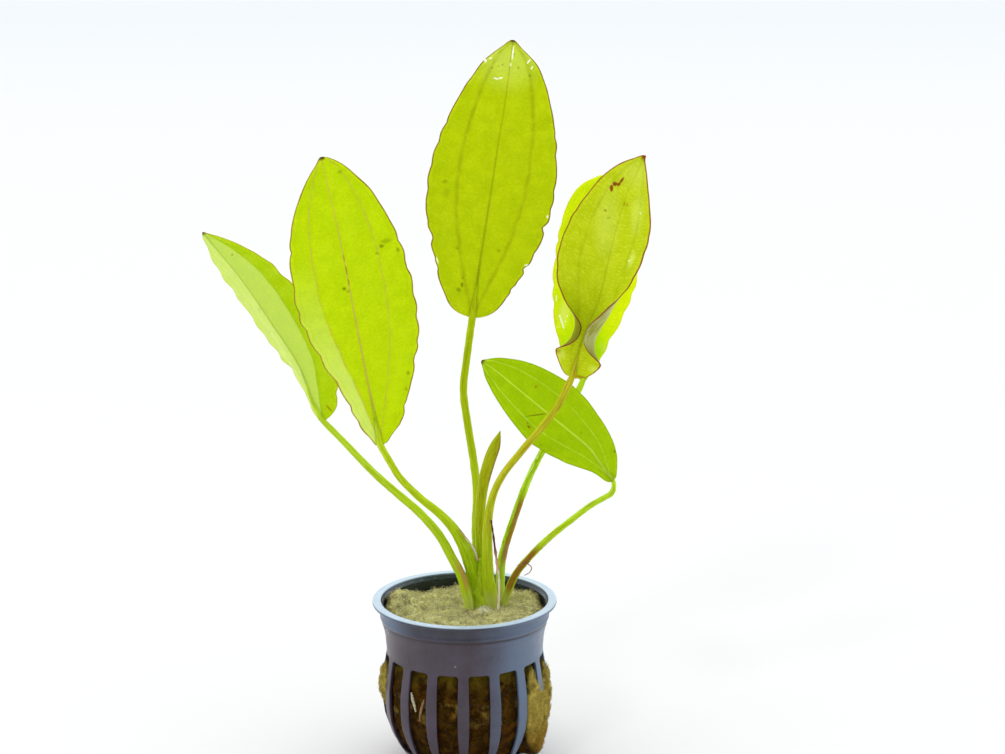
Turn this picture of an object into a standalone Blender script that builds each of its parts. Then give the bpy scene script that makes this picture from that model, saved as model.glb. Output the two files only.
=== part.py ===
"""Potted echinodorus: a young water plant in a slotted net pot that is filled with rock wool.

The values below are millimetres, and the objects are made in metres. The origin is at the
centre of the pot's base, with +Z up. The plant is seen from the front along +Y, with +X to
the right. A leaf is a stalk and a blade, and every stalk grows from the crown in the wool.
"""
import math

import bmesh
import bpy
from mathutils import Matrix, Vector

MM = 0.001
GAP = 0.35
MERGE = 0.01
SHARP_DEGREES = 40

# Pot: outer line of the wall from the flange's edge down to the centre of the base
WALL = 1.0
RIM_HEIGHT = 50.0
POT_LINE = (
    (27.5, 49.0), (25.5, 49.0), (25.2, 48.6), (25.1, 45.6), (24.8, 44.6), (24.0, 43.6), (23.7, 42.8),
    (23.4, 34.5), (24.2, 29.5), (24.8, 24.5), (24.8, 19.0),
    (24.2, 14.5), (22.9, 10.5), (20.9, 6.5), (18.6, 3.0), (16.2, 0.0), (0.0, 0.0),
)
POT_SEGMENTS = 48

# Slots: parallel sides, with a rib of the wall between each two
SLOT_COUNT = 16
SLOT_WIDTH = 6.2
SLOT_TOP = 33.8
SLOT_BOTTOM = 5.0
SLOT_CORNER = 0.8
SLOT_CUT_FROM = 17.5
SLOT_CUT_TO = 30.0

# Rock wool: a plug that fills the pot, with lumps on its top and pads that press out of slots
# Radius and height over the top, the heights where it follows the wall, and the bottom
WOOL_TOP_LINE = ((0.0, 46.6), (7.0, 46.6), (13.0, 46.6), (18.0, 46.5), (21.8, 46.4), (23.4, 45.9), (22.4, 44.0))
WOOL_WALL_HEIGHTS = (42.0, 34.5, 29.5, 24.5, 19.0, 14.5, 10.5, 6.5, 4.3)
WOOL_BOTTOM_LINE = ((14.5, 1.5), (0.0, 1.5))
WOOL_LUMPS_FROM = 44.0
WOOL_SEGMENTS = 28
# x, y, height and spread of each lump on the top
WOOL_LUMPS = (
    (-18.0, 4.0, 2.8, 8.0), (18.5, 11.0, 2.2, 6.0), (6.0, -4.5, 1.6, 3.0),
    (-6.0, 16.0, 0.8, 6.0), (13.0, -14.0, 1.4, 6.0), (-8.0, -14.0, 1.2, 6.0),
)
# Slot's angle from the front, in degrees, then how far its pad reaches, its middle and half height
WOOL_PADS = (
    (56.25, 26.2, 20.0, 12.0), (78.75, 26.6, 21.0, 12.0), (101.25, 26.2, 20.0, 11.0),
    (-78.75, 26.0, 25.0, 8.0), (-101.25, 25.8, 22.0, 9.0), (168.75, 25.8, 20.0, 9.0),
)
PAD_HALF_WIDTH = 2.7
PAD_CENTRE = 21.5
PAD_SEGMENTS = 12
PAD_RINGS = 8

# Crown: the short stem, set in a pocket of the wool
CROWN_CENTRE = (6.3, 4.3)
CROWN_LINE = (
    (0.0, 47.4), (3.5, 47.3), (5.8, 46.7), (6.9, 45.4), (7.0, 43.5), (6.2, 40.2), (4.6, 38.2), (0.0, 37.6),
)
CROWN_SEGMENTS = 16
POCKET_RADIUS = 7.5
POCKET_FLOOR = 37.0

# Blades: grid of the surface, and its thickness
BLADE_ROWS = 12
BLADE_THICKNESS = 0.5
STALK_SPACING = 6.5

# Leaves. stalk: route from the crown to the blade; radii: at its foot and at the blade.
# midrib: from the blade's base to its tip; facing: the way that the visible side looks, at
# base and tip. left and right: half widths at even steps of a half turn, so that they crowd
# towards the base and the tip. fold: degrees that a half rises from the midrib, and curl:
# degrees that it turns from there to its margin, as one value or one for each half width.
LEAVES = {
    1: dict(
        stalk=(
            (1.2, 0.0, 47.6), (0.9, 0.0, 50.0), (-0.8, 0.3, 56.4), (-3.7, 1.0, 62.1), (-7.6, 2.0, 69.0),
            (-13.2, 3.0, 75.4), (-19.0, 4.2, 80.3), (-27.0, 5.5, 87.2), (-36.5, 7.0, 97.0), (-42.0, 8.0, 102.5),
        ),
        radii=(1.5, 1.0),
        midrib=(
            (-42.0, 8.0, 102.5), (-45.3, 9.5, 108.5), (-49.5, 12.0, 118.9), (-58.0, 16.0, 131.2),
            (-66.6, 20.0, 142.9), (-78.8, 26.0, 156.4),
        ),
        facing=((-0.45, -0.88, 0.1), (-0.5, -0.86, 0.1)),
        left=(0.8, 3.0, 4.6, 7.6, 10.0, 11.8, 11.6, 9.6, 6.6, 2.6, 0.0),
        right=(0.8, 4.6, 7.6, 9.2, 10.9, 11.8, 10.8, 8.0, 4.4, 1.4, 0.0),
        fold=(-40, -36), curl=(0, 0), half_columns=3,
    ),
    2: dict(
        stalk=(
            (3.7, 4.0, 48.4), (2.6, 3.0, 56.8), (0.2, 1.0, 65.0), (-3.0, -1.0, 71.6), (-7.4, -3.0, 77.2),
            (-12.9, -5.4, 82.6), (-18.2, -8.2, 89.0), (-21.2, -10.2, 94.6), (-23.9, -12.0, 100.4),
        ),
        radii=(2.1, 1.1),
        midrib=(
            (-23.9, -12.0, 100.4), (-25.4, -14.0, 110.4), (-27.3, -16.5, 122.0), (-29.3, -18.5, 134.5),
            (-32.4, -21.0, 153.9), (-34.8, -22.5, 167.5), (-38.2, -24.0, 184.2),
        ),
        facing=((0.1, -1.0, 0.1), (0.0, -1.0, 0.0)),
        left=(0.8, 1.8, 4.9, 7.4, 11.6, 14.9, 14.5, 12.2, 7.4, 2.2, 0.0),
        right=(0.8, 3.2, 8.0, 12.2, 16.4, 17.7, 16.9, 14.0, 9.0, 3.5, 0.0),
        fold=(8, 8), curl=(-8, -8), half_columns=3,
    ),
    3: dict(
        stalk=(
            (5.0, 9.0, 48.4), (4.0, 9.4, 58.0), (3.3, 9.6, 68.0), (3.6, 9.8, 80.0), (2.6, 10.2, 90.0),
            (0.9, 10.6, 101.0), (-0.3, 11.0, 111.0), (0.6, 11.8, 120.0), (2.4, 13.0, 133.0),
        ),
        radii=(1.6, 1.05),
        midrib=(
            (2.4, 13.0, 133.0), (4.4, 13.5, 147.3), (6.2, 14.5, 159.0), (7.9, 16.0, 169.5),
            (9.7, 18.0, 181.3), (12.4, 22.0, 197.7), (14.4, 27.0, 213.4),
        ),
        facing=((0.0, -1.0, 0.0), (0.0, -1.0, 0.1)),
        left=(0.9, 6.4, 10.3, 14.1, 18.0, 18.9, 16.6, 12.9, 8.2, 2.8, 0.0),
        right=(0.9, 5.9, 9.8, 14.2, 17.7, 18.6, 16.9, 13.2, 8.8, 2.8, 0.0),
        fold=(8, 8), curl=(-8, -8), half_columns=3,
    ),
    4: dict(
        stalk=(
            (8.0, 1.2, 48.4), (7.0, 0.4, 56.0), (6.8, -0.4, 64.0), (7.0, -2.0, 74.0), (8.5, -4.0, 82.7),
            (11.6, -6.5, 90.0), (17.0, -10.0, 98.0), (22.6, -14.0, 106.0), (27.1, -17.0, 113.0), (30.9, -20.0, 121.9),
        ),
        radii=(1.5, 1.0),
        midrib=(
            (30.9, -20.0, 121.9), (33.8, -22.0, 133.5), (38.1, -24.0, 144.6), (40.9, -26.0, 157.5),
            (42.6, -27.2, 165.0), (45.0, -28.7, 174.0), (49.9, -31.0, 185.3),
        ),
        facing=((-0.15, -1.0, 0.1), (-0.35, -0.93, 0.1)),
        left=(0.8, 3.3, 5.8, 6.4, 11.2, 14.2, 13.2, 9.8, 6.2, 2.2, 0.0),
        right=(0.8, 4.2, 7.5, 9.3, 9.6, 10.2, 11.0, 9.6, 5.3, 1.4, 0.0),
        fold=((0, 0, 5, 10, 8, 5, 5, 5, 5, 5, 5), (0, 0, 5, 15, 22, 24, 24, 22, 20, 18, 15)),
        curl=((0, 0, 30, 70, 25, 0, 0, 0, 0, 0, 0), (0, 0, 60, 140, 115, 25, 0, 0, 0, 0, 0)),
        half_columns=5,
    ),
    5: dict(
        stalk=(
            (10.6, 8.0, 48.2), (10.8, 10.0, 56.0), (12.0, 12.4, 62.0), (14.5, 15.0, 69.4), (17.2, 17.8, 76.6),
            (20.0, 20.5, 83.0), (24.0, 23.4, 90.0), (29.0, 26.2, 97.4), (33.0, 28.2, 104.0), (36.1, 30.0, 110.2),
        ),
        radii=(1.5, 1.0),
        midrib=(
            (36.1, 30.0, 110.2), (36.7, 32.0, 120.7), (37.9, 34.0, 131.3), (39.1, 36.0, 140.3),
            (40.4, 38.5, 149.2), (42.0, 41.5, 159.6), (45.1, 45.0, 170.0),
        ),
        facing=((0.0, -1.0, 0.0), (0.0, -1.0, 0.1)),
        left=(0.8, 2.4, 5.6, 9.2, 11.3, 12.4, 11.4, 9.2, 5.9, 1.8, 0.0),
        right=(0.8, 2.0, 4.9, 7.6, 11.1, 13.3, 13.4, 11.4, 8.0, 2.6, 0.0),
        fold=(6, 6), curl=(6, 6), half_columns=3,
    ),
    6: dict(
        stalk=(
            (12.0, 3.5, 48.0), (15.2, 2.2, 56.5), (19.5, 0.8, 62.6), (25.4, -0.5, 69.1), (31.6, -1.5, 74.6),
            (37.0, -2.5, 79.2), (41.0, -3.2, 81.8), (43.3, -3.6, 83.4), (44.0, -3.8, 85.4), (43.7, -4.0, 87.6),
        ),
        radii=(1.4, 0.85),
        midrib=(
            (43.7, -4.0, 87.6), (40.7, -4.5, 91.6), (36.6, -5.0, 97.5), (30.4, -5.0, 102.9),
            (24.0, -4.0, 108.0), (17.0, -2.0, 113.5), (9.4, 1.0, 119.2), (5.2, 3.0, 121.8),
        ),
        facing=((0.1, -1.0, 0.3), (0.0, -1.0, 0.1)),
        left=(0.8, 2.0, 3.2, 6.7, 8.8, 9.9, 8.5, 6.4, 4.0, 1.4, 0.0),
        right=(0.8, 2.4, 5.2, 7.0, 9.5, 10.9, 10.0, 7.8, 4.5, 1.4, 0.0),
        fold=(10, 10), curl=(-6, -6), half_columns=3,
    ),
}

# Young leaf, still rolled up: route and radii along it
YOUNG_ROUTE = (
    (7.4, 5.6, 48.4), (5.8, 5.3, 55.0), (4.9, 5.0, 62.0), (4.6, 4.7, 73.0), (5.2, 4.2, 83.0),
    (6.8, 3.7, 90.6), (8.9, 3.1, 96.6), (10.7, 2.5, 100.8),
)
YOUNG_RADII = (1.4, 1.4, 1.4, 1.45, 1.5, 1.6, 1.3, 0.25)

# Dried strips of old sheaths: route, half width and thickness
SHEATH_RIGHT = (
    (10.0, -1.6, 48.2), (10.3, -1.6, 53.0), (10.2, -1.6, 57.5), (9.7, -1.8, 61.5),
    (9.2, -2.4, 67.0), (9.0, -3.2, 71.5), (8.6, -4.6, 75.5),
)
SHEATH_LEFT = ((3.9, 1.0, 61.4), (3.4, 0.6, 63.6), (2.2, -0.6, 66.6), (0.4, -1.4, 69.2), (-1.6, -2.6, 72.4))
SHEATH_HALF_WIDTH = 0.6
SHEATH_TAPER = 0.7
SHEATH_THICKNESS = 0.4

# Two roots that lie on the wool in a slot left of the front
ROOT_WHITE = ((-15.3, -18.9, 27.4), (-14.9, -19.3, 25.4), (-14.4, -19.7, 23.6), (-14.0, -20.0, 21.8))
ROOT_BROWN = ((-11.5, -21.3, 26.0), (-12.1, -21.0, 23.8), (-12.6, -20.7, 21.6), (-12.9, -20.4, 19.0))
ROOT_RADIUS = 0.4

COLOURS = {
    "plastic": ((0.13, 0.15, 0.20), 0.4),
    "wool": ((0.33, 0.29, 0.10), 0.9),
    "leaf": ((0.46, 0.60, 0.02), 0.35),
    "leaf_olive": ((0.42, 0.42, 0.05), 0.35),
    "stalk": ((0.33, 0.48, 0.03), 0.35),
    "dried": ((0.25, 0.13, 0.06), 0.7),
    "root": ((0.70, 0.66, 0.45), 0.5),
}


class Path:
    """A smooth curve through points chosen by hand, read by the share of its length."""

    def __init__(self, points, fine=16):
        knots = [Vector(p) for p in points]
        knots = [2 * knots[0] - knots[1]] + knots + [2 * knots[-1] - knots[-2]]
        self.points = []
        for a, b, c, d in zip(knots, knots[1:], knots[2:], knots[3:]):
            for k in range(fine):
                t = k / fine
                self.points.append(
                    0.5 * (2 * b + (c - a) * t + (2 * a - 5 * b + 4 * c - d) * t ** 2
                           + (3 * b - a - 3 * c + d) * t ** 3)
                )
        self.points.append(knots[-2])
        self.lengths = [0.0]
        for p, q in zip(self.points, self.points[1:]):
            self.lengths.append(self.lengths[-1] + (q - p).length)
        self.length = self.lengths[-1]

    def at(self, share):
        wanted = min(max(share, 0.0), 1.0) * self.length
        for i in range(1, len(self.points)):
            if self.lengths[i] >= wanted:
                step = self.lengths[i] - self.lengths[i - 1]
                return self.points[i - 1].lerp(self.points[i], (wanted - self.lengths[i - 1]) / step)
        return self.points[-1].copy()

    def heading(self, share, reach=0.02):
        return (self.at(share + reach) - self.at(share - reach)).normalized()


def between(low, high, share):
    return low + (high - low) * share


def read_along(values, place):
    """The value at a place from 0 to 1 in a row of even steps, or the one value itself."""
    if not isinstance(values, (tuple, list)):
        return values
    at = min(max(place, 0.0), 1.0) * (len(values) - 1)
    i = min(int(at), len(values) - 2)
    return between(values[i], values[i + 1], at - i)


def clear_scene():
    for item in list(bpy.data.objects):
        bpy.data.objects.remove(item, do_unlink=True)


def make_collection(name):
    collection = bpy.data.collections.new(name)
    bpy.context.scene.collection.children.link(collection)
    return collection


def make_material(name):
    colour, roughness = COLOURS[name]
    material = bpy.data.materials.new(name)
    material.use_nodes = True
    shader = material.node_tree.nodes["Principled BSDF"]
    shader.inputs["Base Color"].default_value = (*colour, 1.0)
    shader.inputs["Roughness"].default_value = roughness
    shader.inputs["Metallic"].default_value = 0.0
    return material


def add_mesh(name, bm, material, collection):
    """One object from a bmesh in millimetres, smooth except at its sharp edges."""
    bmesh.ops.scale(bm, vec=(MM, MM, MM), verts=bm.verts)
    bmesh.ops.recalc_face_normals(bm, faces=bm.faces)
    mesh = bpy.data.meshes.new(name)
    bm.to_mesh(mesh)
    bm.free()
    mesh.shade_smooth()
    mesh.set_sharp_from_angle(angle=math.radians(SHARP_DEGREES))
    item = bpy.data.objects.new(name, mesh)
    item.data.materials.append(material)
    collection.objects.link(item)
    return item


def add_turned(name, line, segments, material, collection, centre=(0.0, 0.0)):
    """A profile turned about the vertical through centre. Its line runs down the outer side."""
    bm = bmesh.new()
    verts = [bm.verts.new((r * MM, 0.0, z * MM)) for r, z in line]
    for a, b in zip(verts, verts[1:]):
        bm.edges.new((a, b))
    mesh = bpy.data.meshes.new(name)
    bm.to_mesh(mesh)
    bm.free()
    item = bpy.data.objects.new(name, mesh)
    item.location = (centre[0] * MM, centre[1] * MM, 0.0)
    item.data.materials.append(material)
    collection.objects.link(item)
    screw = item.modifiers.new("turn", "SCREW")
    screw.axis = "Z"
    screw.angle = math.tau
    screw.steps = segments
    screw.render_steps = segments
    screw.use_merge_vertices = True
    screw.merge_threshold = MERGE * MM
    return item


def cut(item, cutter):
    boolean = item.modifiers.new("cut", "BOOLEAN")
    boolean.operation = "DIFFERENCE"
    boolean.solver = "EXACT"
    boolean.object = cutter


def join(item, other):
    boolean = item.modifiers.new("join", "BOOLEAN")
    boolean.operation = "UNION"
    boolean.solver = "EXACT"
    boolean.object = other


def hide_guide(item):
    item.hide_render = True
    item.display_type = "WIRE"


def turned_from_front(degrees):
    """The turn about Z that takes the front, -Y, to this many degrees towards the right."""
    return Matrix.Rotation(math.radians(degrees), 4, "Z")


def make_slot_cutter(material, guides):
    """All slots of the pot as rounded boxes in one object."""
    box = bmesh.new()
    bmesh.ops.create_cube(box, size=1.0)
    reach = SLOT_CUT_TO - SLOT_CUT_FROM
    bmesh.ops.scale(box, vec=(SLOT_WIDTH, reach, SLOT_TOP - SLOT_BOTTOM), verts=box.verts)
    long_edges = [e for e in box.edges if abs((e.verts[0].co - e.verts[1].co).y) > reach / 2]
    bmesh.ops.bevel(box, geom=long_edges, offset=SLOT_CORNER, segments=2, profile=0.5, affect="EDGES")
    middle = Vector((0.0, -(SLOT_CUT_FROM + SLOT_CUT_TO) / 2, (SLOT_TOP + SLOT_BOTTOM) / 2))
    bmesh.ops.translate(box, vec=middle, verts=box.verts)
    one = bpy.data.meshes.new("slot")
    box.to_mesh(one)
    box.free()
    bm = bmesh.new()
    for k in range(SLOT_COUNT):
        start = len(bm.verts)
        bm.from_mesh(one)
        bm.verts.ensure_lookup_table()
        turn = turned_from_front((k + 0.5) * 360.0 / SLOT_COUNT)
        bmesh.ops.transform(bm, matrix=turn, verts=bm.verts[start:])
    bpy.data.meshes.remove(one)
    cutter = add_mesh("slot_cutter", bm, material, guides)
    hide_guide(cutter)
    return cutter


def make_pot(collection, guides):
    plastic = make_material("plastic")
    pot = add_turned("pot", POT_LINE, POT_SEGMENTS, plastic, collection)
    shell = pot.modifiers.new("wall", "SOLIDIFY")
    shell.thickness = WALL * MM
    shell.offset = -1.0
    shell.use_even_offset = True
    cut(pot, make_slot_cutter(plastic, guides))


def pot_radius(height):
    """Outer radius of the pot's wall at a height, and how much it slopes there."""
    for (r1, z1), (r2, z2) in zip(POT_LINE[2:], POT_LINE[3:]):
        if z2 <= height <= z1:
            break
    return between(r1, r2, (z1 - height) / (z1 - z2)), (r1 - r2) / (z1 - z2)


def wool_radius(height):
    """Radius of the wool where it follows the inside of the wall."""
    radius, slope = pot_radius(height)
    return radius - (WALL + GAP) * math.hypot(1.0, slope)


def wool_lump(x, y):
    return sum(h * math.exp(-((x - cx) ** 2 + (y - cy) ** 2) / size ** 2) for cx, cy, h, size in WOOL_LUMPS)


def make_rock_wool(collection, guides):
    """A ball whose rings are set on the plug's outline, with lumps on its top."""
    wool = make_material("wool")
    wall = [(wool_radius(z), z) for z in WOOL_WALL_HEIGHTS]
    line = [*WOOL_TOP_LINE, *wall, *WOOL_BOTTOM_LINE]
    rings = len(line) - 1
    bm = bmesh.new()
    bmesh.ops.create_uvsphere(bm, u_segments=WOOL_SEGMENTS, v_segments=rings, radius=1.0)
    for v in bm.verts:
        from_top = math.acos(max(-1.0, min(1.0, v.co.z))) / math.pi
        radius, height = line[round(from_top * rings)]
        around = math.atan2(v.co.y, v.co.x)
        x, y = radius * math.cos(around), radius * math.sin(around)
        lump = wool_lump(x, y) if height > WOOL_LUMPS_FROM else 0.0
        v.co = (x, y, height + lump)
    plug = add_mesh("rock_wool", bm, wool, collection)
    join(plug, make_wool_pads(wool, guides))
    cut(plug, make_crown_pocket(wool, guides))


def make_wool_pads(wool, guides):
    """The parts of the wool that press out through slots, as one object of round pads."""
    bm = bmesh.new()
    for degrees, reach, middle, half_height in WOOL_PADS:
        pad = bmesh.ops.create_uvsphere(bm, u_segments=PAD_SEGMENTS, v_segments=PAD_RINGS, radius=1.0)["verts"]
        bmesh.ops.scale(bm, vec=(PAD_HALF_WIDTH, reach - PAD_CENTRE, half_height), verts=pad)
        bmesh.ops.translate(bm, vec=(0.0, -PAD_CENTRE, middle), verts=pad)
        bmesh.ops.transform(bm, matrix=turned_from_front(degrees), verts=pad)
    pads = add_mesh("wool_pads", bm, wool, guides)
    hide_guide(pads)
    return pads


def make_crown_pocket(wool, guides):
    bm = bmesh.new()
    depth = RIM_HEIGHT - POCKET_FLOOR
    bmesh.ops.create_cone(
        bm, cap_ends=True, segments=CROWN_SEGMENTS, radius1=POCKET_RADIUS, radius2=POCKET_RADIUS, depth=depth
    )
    bmesh.ops.translate(bm, vec=(*CROWN_CENTRE, POCKET_FLOOR + depth / 2), verts=bm.verts)
    pocket = add_mesh("crown_pocket", bm, wool, guides)
    hide_guide(pocket)
    return pocket


def make_crown(collection):
    add_turned("crown", CROWN_LINE, CROWN_SEGMENTS, make_material("stalk"), collection, CROWN_CENTRE)


def add_tube(name, route, radii, material, collection, stop_short=0.0, sides=2):
    """A round, tapered piece along a route. stop_short leaves that much of the end off."""
    path = Path(route)
    end = 1.0 - stop_short / path.length
    count = max(4, round(path.length / STALK_SPACING)) + 1
    curve = bpy.data.curves.new(name, "CURVE")
    curve.dimensions = "3D"
    curve.bevel_depth = MM
    curve.bevel_resolution = sides
    curve.use_fill_caps = True
    spline = curve.splines.new("POLY")
    spline.points.add(count - 1)
    for k, point in enumerate(spline.points):
        share = k / (count - 1)
        point.co = (*(path.at(share * end) * MM), 1.0)
        point.radius = read_along(radii, share)
    item = bpy.data.objects.new(name, curve)
    item.data.materials.append(material)
    collection.objects.link(item)
    return item


def section_point(half_width, share, fold, curl, steps=10):
    """Sideways and raised distance at a share of a half section that starts at fold and curls on."""
    sideways = raised = 0.0
    for k in range(steps):
        t = (k + 0.5) / steps * share
        angle = math.radians(fold + curl * t * t)
        sideways += half_width * share / steps * math.cos(angle)
        raised += half_width * share / steps * math.sin(angle)
    return sideways, raised


def blade_point(leaf, midrib, place, across):
    """A point of the blade: place is 0 at the base and 1 at the tip, across -1 to 1 left to right."""
    share = (1.0 - math.cos(math.pi * place)) / 2.0
    heading = midrib.heading(share)
    facing = Vector(leaf["facing"][0]).lerp(Vector(leaf["facing"][1]), share)
    facing = (facing - heading * facing.dot(heading)).normalized()
    side = heading.cross(facing)
    half = 0 if across < 0 else 1
    widths = leaf["right"] if half else leaf["left"]
    sideways, raised = section_point(
        read_along(widths, place), abs(across), read_along(leaf["fold"][half], place),
        read_along(leaf["curl"][half], place)
    )
    return midrib.at(share) + side * math.copysign(sideways, across) + facing * raised


def make_blade(number, leaf, collection, material):
    columns = 2 * leaf["half_columns"]
    midrib = Path(leaf["midrib"])
    bm = bmesh.new()
    bmesh.ops.create_grid(bm, x_segments=columns, y_segments=BLADE_ROWS, size=1.0)
    for v in bm.verts:
        v.co = blade_point(leaf, midrib, (v.co.y + 1.0) / 2.0, v.co.x)
    bmesh.ops.remove_doubles(bm, verts=bm.verts, dist=MERGE)
    blade = add_mesh(f"blade_{number}", bm, material, collection)
    skin = blade.modifiers.new("thickness", "SOLIDIFY")
    skin.thickness = BLADE_THICKNESS * MM
    skin.offset = 0.0


def make_leaf(number, leaf, collection):
    colour = make_material("leaf_olive" if number == 4 else "leaf")
    make_blade(number, leaf, collection, colour)
    add_tube(
        f"stalk_{number}", leaf["stalk"], leaf["radii"], make_material("stalk"), collection,
        stop_short=GAP + BLADE_THICKNESS
    )


def make_strip(name, route, material, collection):
    """A dried strip: a thin band that follows a route and faces the front."""
    path = Path(route)
    rows = 2 * len(route)
    bm = bmesh.new()
    bmesh.ops.create_grid(bm, x_segments=1, y_segments=rows, size=1.0)
    for v in bm.verts:
        share = (v.co.y + 1.0) / 2.0
        side = path.heading(share).cross(Vector((0.0, -1.0, 0.0))).normalized()
        width = SHEATH_HALF_WIDTH * (1.0 - SHEATH_TAPER * share)
        v.co = path.at(share) + side * v.co.x * width
    strip = add_mesh(name, bm, material, collection)
    skin = strip.modifiers.new("thickness", "SOLIDIFY")
    skin.thickness = SHEATH_THICKNESS * MM
    skin.offset = 0.0


def make_plant(collection):
    make_crown(collection)
    for number, leaf in LEAVES.items():
        make_leaf(number, leaf, collection)
    add_tube("young_leaf", YOUNG_ROUTE, YOUNG_RADII, make_material("stalk"), collection)
    dried = make_material("dried")
    make_strip("dry_sheath_right", SHEATH_RIGHT, dried, collection)
    make_strip("dry_sheath_left", SHEATH_LEFT, dried, collection)
    add_tube("root_white", ROOT_WHITE, (ROOT_RADIUS, ROOT_RADIUS), make_material("root"), collection, sides=1)
    add_tube("root_brown", ROOT_BROWN, (ROOT_RADIUS, ROOT_RADIUS), dried, collection, sides=1)


def main():
    clear_scene()
    collection = make_collection("potted_echinodorus")
    guides = make_collection("guides")
    make_pot(collection, guides)
    make_rock_wool(collection, guides)
    make_plant(collection)


main()
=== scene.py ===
import math

import bmesh
import bpy
import numpy as np
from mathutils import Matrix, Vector, noise


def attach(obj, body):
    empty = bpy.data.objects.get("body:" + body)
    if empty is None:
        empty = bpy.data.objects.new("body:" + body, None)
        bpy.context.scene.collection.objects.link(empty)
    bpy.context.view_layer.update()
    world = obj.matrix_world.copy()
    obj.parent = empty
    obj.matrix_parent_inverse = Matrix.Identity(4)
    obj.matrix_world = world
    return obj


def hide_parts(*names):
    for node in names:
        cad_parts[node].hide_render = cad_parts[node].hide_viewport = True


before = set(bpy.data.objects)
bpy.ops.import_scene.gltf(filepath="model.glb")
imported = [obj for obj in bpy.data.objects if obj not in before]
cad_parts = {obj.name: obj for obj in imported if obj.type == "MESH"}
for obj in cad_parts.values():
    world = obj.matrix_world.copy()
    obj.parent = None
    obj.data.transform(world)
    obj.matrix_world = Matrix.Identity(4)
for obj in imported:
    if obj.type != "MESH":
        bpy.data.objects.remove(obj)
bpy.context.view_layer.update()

# Everything is worked out in millimetres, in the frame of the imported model, and made in metres.
# The origin is at the centre of the pot's base, +Z is up, and the front is seen along +Y.
MM = 0.001
BODY = "root"

# Camera, found from the rim's ellipse in the photo
CAMERA_PLACE = (11.33, -568.99, 240.38)
CAMERA_PITCH = 77.82
CAMERA_LENS = 71.44
SENSOR_WIDTH = 36.0

# World: brightness towards the camera's side and behind the plant, and the directions between
WORLD_LEVEL = (0.54, 1.7)
WORLD_TURN = (-0.9, 0.25)
SKY_COLOUR = (0.90, 0.98, 1.05)
FLOOR_NEAR = (0.80, 0.745, 0.70)
FLOOR_FAR = (0.73, 0.703, 0.683)

# Pot: outer line of the wall below the flange, and its thickness
WALL = 1.0
RIM_RADIUS = 27.5
RIM_HEIGHT = 50.0
FLANGE = 1.0
POT_LINE = (
    (25.2, 48.6), (25.15, 44.8), (24.9, 43.6), (24.3, 41.8), (23.8, 39.6),
    (23.4, 34.5), (24.2, 29.5), (24.8, 24.5), (24.8, 19.0),
    (24.2, 14.5), (22.9, 10.5), (20.9, 6.5), (18.6, 3.0), (16.2, 0.0),
)
SLOT_COUNT = 16
SLOT_WIDTH = 6.2
SLOT_TOP = 33.8
SLOT_BOTTOM = 5.0
SLOT_CORNER = 0.9
SLOT_EDGE = 0.22
CELL_TOP = 36.0
CELL_BOTTOM = 3.6
CELL_ACROSS = 14
CELL_UP = 36

# Rock wool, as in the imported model, with the finer forms of its surface
WOOL_TOP_LINE = ((0.0, 46.6), (7.0, 46.6), (13.0, 46.6), (18.0, 46.5), (21.8, 46.4), (23.4, 45.9), (22.4, 44.0))
WOOL_WALL_HEIGHTS = (42.0, 34.5, 29.5, 24.5, 19.0, 14.5, 10.5, 6.5, 4.3)
WOOL_BOTTOM_LINE = ((14.5, 1.5), (0.0, 1.5))
WOOL_LUMPS_FROM = 44.0
WOOL_GAP = 0.35
WOOL_AROUND = 280
WOOL_RING_STEP = 0.42
WOOL_LUMPS = (
    (-20.0, 6.0, 2.9, 6.5), (21.0, 11.5, 1.9, 4.5), (6.0, -4.3, 2.4, 1.9), (9.5, -6.5, 0.9, 2.5),
    (-10.0, 18.0, -1.2, 6.0), (13.0, -14.0, 1.4, 6.0), (-8.0, -14.0, 1.2, 6.0),
)
WOOL_PADS = (
    (56.25, 26.0, 21.6, 12.4, 3.0), (66.0, 26.3, 16.0, 12.0, 6.8), (78.75, 26.2, 21.0, 12.0, 3.0),
    (101.25, 26.2, 20.0, 11.0, 3.0), (-78.75, 26.0, 25.0, 8.0, 3.0), (-101.25, 25.8, 22.0, 9.0, 3.0),
    (168.75, 25.8, 20.0, 9.0, 3.0),
)
PAD_CENTRE = 21.5

CROWN_CENTRE = (6.3, 4.3)

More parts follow.
